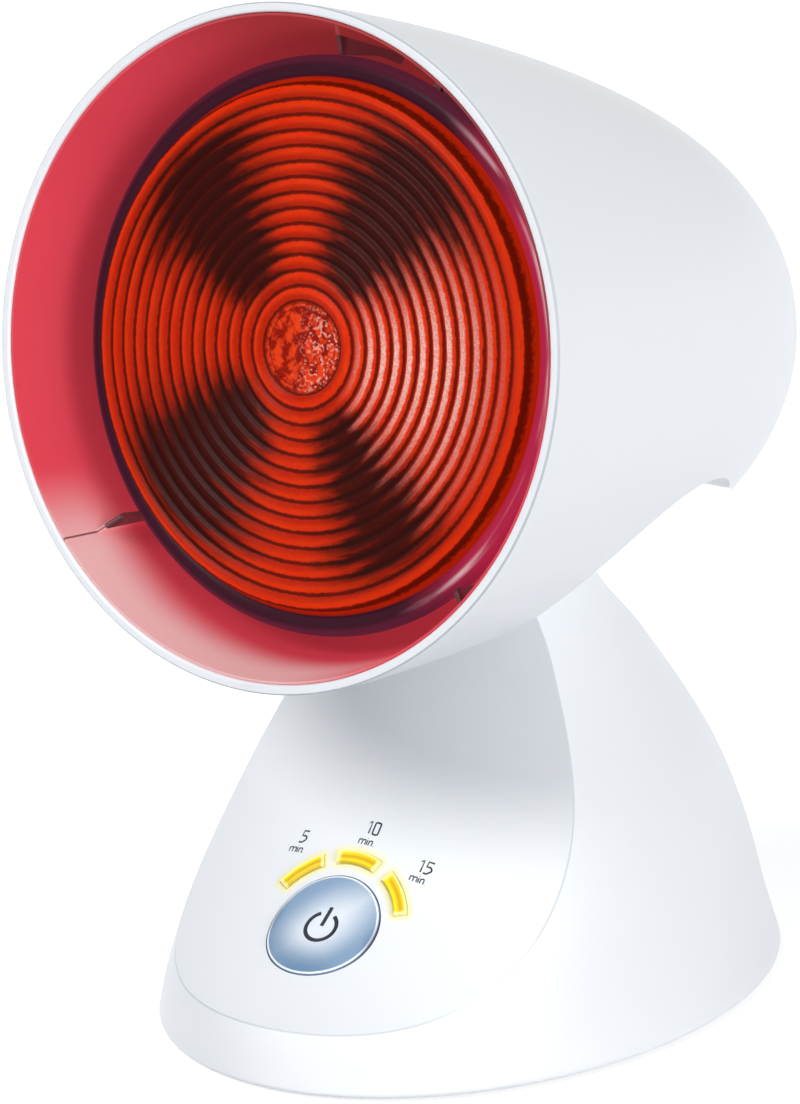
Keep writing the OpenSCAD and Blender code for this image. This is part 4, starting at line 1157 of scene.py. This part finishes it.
class LAMP_OT_timer_windows(bpy.types.Operator):
    """Model the three yellow timer windows with bevelled rims and a shallow trough"""
    bl_idname = "lamp.timer_windows"
    bl_label = "Timer windows"

    def execute(self, context):
        panel = sizes_of("lamp_panel")
        finish = window_finish()
        for i, minutes in enumerate((5, 10, 15)):
            top, floor = panel.window_proud, -0.0096
            bar = prism(f"timer_window_{minutes}_skin", window_outline(i, 0), floor, top)
            begin_edit(bar, "FACE")
            pick(bar, "faces", lambda f: f.normal.z > 0.9)
            bpy.ops.mesh.inset(thickness=0.0005, depth=0.0)
            bpy.ops.mesh.inset(thickness=0.00012, depth=-0.00022)
            end_edit()
            begin_edit(bar, "EDGE")
            pick(bar, "edges", lambda e: all(v.co.z > top - 1e-5 for v in e.verts) and e.is_manifold
                 and e.calc_face_angle(0) > 0.8)
            bpy.ops.mesh.bevel(offset=0.00018, segments=2, affect="EDGES")
            end_edit()
            drape(bar, above=-0.001)
            place(bar, panel_frame())
            hand_over(bar, "root", [finish.material], [f"timer_window_{minutes}"])
        return {"FINISHED"}


class LAMP_OT_panel_print(bpy.types.Operator):
    """Write the minutes beside the timer windows"""
    bl_idname = "lamp.panel_print"
    bl_label = "Panel print"

    def execute(self, context):
        panel = sizes_of("lamp_panel")
        digit_weight, letter_weight, digit_stretch, letter_stretch = 0.00042, 0.0003, 1.2, 1.35
        finish = ink_finish()
        # minutes, then the middle of the digits and of the word under them
        labels = ((5, (-0.0165, 0.0199), (-0.0169, 0.0167)), (10, (0.0002, 0.0248), (-0.0001, 0.0214)),
                  (15, (0.0160, 0.0198), (0.0155, 0.0166)))
        for minutes, digits_at, word_at in labels:
            digits = lettering(
                "digits", str(minutes), panel.digit_height, digit_weight, digits_at, digit_stretch)
            word = lettering("word", "min.", panel.letter_height, letter_weight, word_at, letter_stretch)
            label = joined(f"label_{minutes}", [digits, word])
            drape(label)
            place(label, panel_frame())
            hand_over(label, "root", [finish.material])
        return {"FINISHED"}


# ---- pieces that keep their solid ----


def mottled(name, dark, light, cloud, gloss, relief, grain=None, **shader):
    """Two tones and two glosses in one cloud, raised by the cloud itself or by a finer grain."""
    finish = Finish(name, **shader)
    where = finish.point()
    share = finish.noise(where, *cloud)
    finish.colour(finish.mix(share, srgb(*dark), srgb(*light))).rough(share, *gloss)
    return finish.bump(finish.noise(where, grain, 2) if grain else share, *relief)


def board_finish():
    """Solder mask with the copper tracks showing through; the weave of glass cloth under it is not drawn."""
    finish = Finish("board_green", roughness=0.35, coat_weight=0.3, coat_roughness=0.1)
    where = finish.point(panel_frame())
    across, along, _ = finish.split(where)
    row = finish.math("SNAP", along + 0.05, 0.006)
    tracks = finish.math("FRACT", (across + row * 0.37) * 240)
    copper = finish.bell(tracks, 0.5, 0.28) * finish.rise(finish.noise(where, 70, 1), 0.48, 0.52)
    finish.colour(finish.mix(copper, srgb(18, 82, 42), srgb(44, 124, 62)))
    return finish.bump(copper, 0.00004, 0.6)


def reflector_finish():
    """Dark red glass of the bulb's body, mirrored behind."""
    finish = Finish("reflector_glass", coat_weight=0.6, coat_roughness=0.04)
    where = finish.point(head_frame())
    _, depth, _ = finish.split(where)
    ripple = finish.noise(where, 90, 2)
    neck = finish.rise(depth, 0.02, 0.075)
    dark = finish.mix(ripple, srgb(70, 10, 26), srgb(104, 18, 40))
    finish.colour(finish.mix(neck, dark, srgb(150, 40, 44)))
    return finish.rough(ripple, 0.1, 0.2).bump(ripple, 0.00004, 0.3)


def bronze_finish():
    """Sintered bronze, dark in its pores."""
    finish = Finish("bush_bronze", metallic=1.0)
    where = finish.point()
    pores = finish.rise(finish.noise(where, 2400, 2), 0.4, 0.5)
    finish.colour(finish.mix(pores, srgb(96, 66, 34), srgb(176, 126, 70)))
    return finish.rough(pores, 0.5, 0.35).bump(pores, 0.00002, 0.5)


def slot_finishes():
    """The finish of each material slot that a carried-over solid may name."""
    return {
        "white_shell": white_shell("bush_white"),
        "grey_plastic": moulded("plate_grey", srgb(206, 208, 212), 0.45, 0.6, 0.00003, 700),
        "foot_rubber": mottled(
            "foot_rubber", (34, 34, 37), (58, 58, 62), (220, 4), (0.62, 0.85), (0.00002, 0.5), 2200,
            specular_ior_level=0.3, sheen_weight=0.15, sheen_roughness=0.6),
        "plated_steel": metal("plated_steel", srgb(198, 202, 208), 0.28, 0.42),
        "spring_steel": metal("spring_steel", srgb(120, 122, 128), 0.25, 0.4, (0.2, 1, 1)),
        "board_green": board_finish(),
        "black_plastic": moulded("black_plastic", srgb(38, 38, 42), 0.4, 0.55),
        "blue_plastic": moulded("relay_blue", srgb(30, 82, 158), 0.25, 0.4),
        "yellow_plastic": moulded("capacitor_yellow", srgb(214, 160, 44), 0.2, 0.35),
        "green_plastic": moulded("terminal_green", srgb(36, 128, 76), 0.35, 0.5),
        "led_yellow": moulded("led_yellow", srgb(250, 214, 60), 0.08, 0.18, coat=0.5),
        "lead_red": mottled(
            "lead_red", (150, 28, 24), (188, 44, 36), (300, 3), (0.4, 0.55), (0.00001, 0.4), 1500,
            specular_ior_level=0.35),
        "reflector_glass": reflector_finish(),
        "nickel": metal("cap_nickel", srgb(206, 202, 196), 0.18, 0.34),
        "tungsten": metal("filament_grey", srgb(118, 118, 122), 0.35, 0.55, scale=2000),
        "holder_ceramic": mottled(
            "holder_ceramic", (226, 220, 204), (242, 238, 226), (120, 4), (0.12, 0.26), (0.00003, 0.3),
            coat_weight=0.7, coat_roughness=0.05),
        "holder_brass": metal("holder_brass", srgb(206, 168, 84), 0.22, 0.4),
        "arm_grey": moulded("arm_grey", srgb(204, 208, 214), 0.5, 0.66, 0.00004, 500),
        "bush_bronze": bronze_finish(),
    }


class LAMP_OT_carried_pieces(bpy.types.Operator):
    """Give every solid that still shows a finish of its own"""
    bl_idname = "lamp.carried_pieces"
    bl_label = "Carried-over pieces"

    def execute(self, context):
        finishes = slot_finishes()
        slot_of = {part["node"]: part["material_slot"] for part in frame["record"]["subparts"]}
        for name, node in frame["nodes"].items():
            if node.hide_render:
                continue
            if slot_of[name] not in finishes:
                raise RuntimeError(f"{name} has no finish for {slot_of[name]}")
            node.data.materials.clear()
            node.data.materials.append(finishes[slot_of[name]].material)
        return {"FINISHED"}


# ---- stage ----


def floor_finish():
    """Pale floor that the camera sees as white where no shadow falls."""
    finish = Finish("floor_white", roughness=0.9, specular_ior_level=0.1)
    grain = finish.noise(finish.point(), 3, 3)
    finish.colour(finish.mix(grain, srgb(198, 200, 203), srgb(204, 205, 208)))
    camera, glossy, through = (finish.node("ShaderNodeLightPath", f"Is {kind} Ray", {})
                               for kind in ("Camera", "Glossy", "Transmission"))
    lift = 0.72
    return finish.glow((1, 1, 1), finish.largest(camera, finish.largest(glossy, through)) * lift)


def sun(name, toward, strength, spread, tone=(1, 1, 1)):
    """A soft sun whose light comes from a direction."""
    deselect()
    bpy.ops.object.light_add(type="SUN", location=Vector(toward) * 2)
    lamp = bpy.context.object
    lamp.name = name
    lamp.rotation_mode = "QUATERNION"
    lamp.rotation_quaternion = Vector(toward).to_track_quat("Z", "Y")
    lamp.data.energy = strength
    lamp.data.angle = math.radians(spread)
    lamp.data.color = tone


class LAMP_OT_stage(bpy.types.Operator):
    """Lay the pale floor, and set the lights, the background and the camera"""
    bl_idname = "lamp.stage"
    bl_label = "Stage"

    def execute(self, context):
        scene = context.scene
        deselect()
        bpy.ops.mesh.primitive_plane_add(size=14, location=(0, 0, 0))
        floor = bpy.context.object
        floor.name = "floor"
        floor.data.materials.append(floor_finish().material)
        sun("front_light", (-0.3, -1.0, 0.8), 1.75, 22)
        sun("side_light", (1.0, -0.2, 0.24), 1.95, 30)
        world = bpy.data.worlds.new("soft_room")
        scene.world = world
        world.use_nodes = True
        nodes, links = world.node_tree.nodes, world.node_tree.links
        background = nodes["Background"]
        background.inputs["Color"].default_value = (0.88, 0.94, 1, 1)
        background.inputs["Strength"].default_value = 0.25
        # white to the camera and in mirrors, and the soft tone above as light
        seen = nodes.new("ShaderNodeBackground")
        seen.inputs["Color"].default_value = (1, 1, 1, 1)
        rays, blend = nodes.new("ShaderNodeLightPath"), nodes.new("ShaderNodeMixShader")
        either, any_ray = nodes.new("ShaderNodeMath"), nodes.new("ShaderNodeMath")
        either.operation = any_ray.operation = "MAXIMUM"
        for start, end in (
                (rays.outputs["Is Glossy Ray"], either.inputs[0]),
                (rays.outputs["Is Transmission Ray"], either.inputs[1]),
                (either.outputs[0], any_ray.inputs[0]), (rays.outputs["Is Camera Ray"], any_ray.inputs[1]),
                (any_ray.outputs[0], blend.inputs["Fac"]), (background.outputs[0], blend.inputs[1]),
                (seen.outputs[0], blend.inputs[2]),
                (blend.outputs[0], nodes["World Output"].inputs["Surface"])):
            links.new(start, end)
        # camera fitted to the photo: its place, its turn about Z, its height angle and its lens
        camera_at, azimuth, elevation = (0.8458, -1.1766, 0.5548), math.radians(36.357), math.radians(17.499)
        focal_length, sensor_width = 229.37, 36
        back = Vector((math.sin(azimuth) * math.cos(elevation), -math.cos(azimuth) * math.cos(elevation),
                       math.sin(elevation)))
        deselect()
        bpy.ops.object.camera_add(location=camera_at)
        camera = bpy.context.object
        camera.rotation_mode = "QUATERNION"
        camera.rotation_quaternion = (-back).to_track_quat("-Z", "Y")
        camera.data.lens = focal_length
        camera.data.sensor_width = sensor_width
        camera.data.clip_start = 0.05
        camera.data.clip_end = 40
        scene.camera = camera
        scene.view_settings.view_transform = "Standard"
        return {"FINISHED"}


# ---- add-on ----

GROUPS = {"lamp_head": HeadSizes, "lamp_bulb": BulbSizes, "lamp_base": BaseSizes,
          "lamp_panel": PanelSizes, "lamp_colours": LampColours}
OPERATORS = (LAMP_OT_stage, LAMP_OT_base_shell, LAMP_OT_button, LAMP_OT_timer_windows,
             LAMP_OT_panel_print, LAMP_OT_head_shell, LAMP_OT_inner_shade, LAMP_OT_bulb_lens,
             LAMP_OT_carried_pieces)


class LAMP_PT_panel(bpy.types.Panel):
    """The lamp's pieces, in the order in which they are built"""
    bl_idname = "LAMP_PT_panel"
    bl_label = "Heat Lamp"
    bl_space_type = "VIEW_3D"
    bl_region_type = "UI"
    bl_category = "Heat Lamp"

    def draw(self, context):
        for operator in OPERATORS:
            self.layout.operator(operator.bl_idname)


def register():
    for group in GROUPS.values():
        bpy.utils.register_class(group)
    for name, group in GROUPS.items():
        setattr(bpy.types.Scene, name, bpy.props.PointerProperty(type=group))
    for kind in (*OPERATORS, LAMP_PT_panel):
        bpy.utils.register_class(kind)


def unregister():
    for kind in (LAMP_PT_panel, *reversed(OPERATORS)):
        bpy.utils.unregister_class(kind)
    for name in GROUPS:
        delattr(bpy.types.Scene, name)
    for group in GROUPS.values():
        bpy.utils.unregister_class(group)


def main():
    register()
    bpy.ops.lamp.stage()
    bpy.ops.lamp.base_shell()
    bpy.ops.lamp.button()
    bpy.ops.lamp.timer_windows()
    bpy.ops.lamp.panel_print()
    bpy.ops.lamp.head_shell()
    bpy.ops.lamp.inner_shade()
    bpy.ops.lamp.bulb_lens()
    bpy.ops.lamp.carried_pieces()
    deselect()


if __name__ == "__main__":
    main()
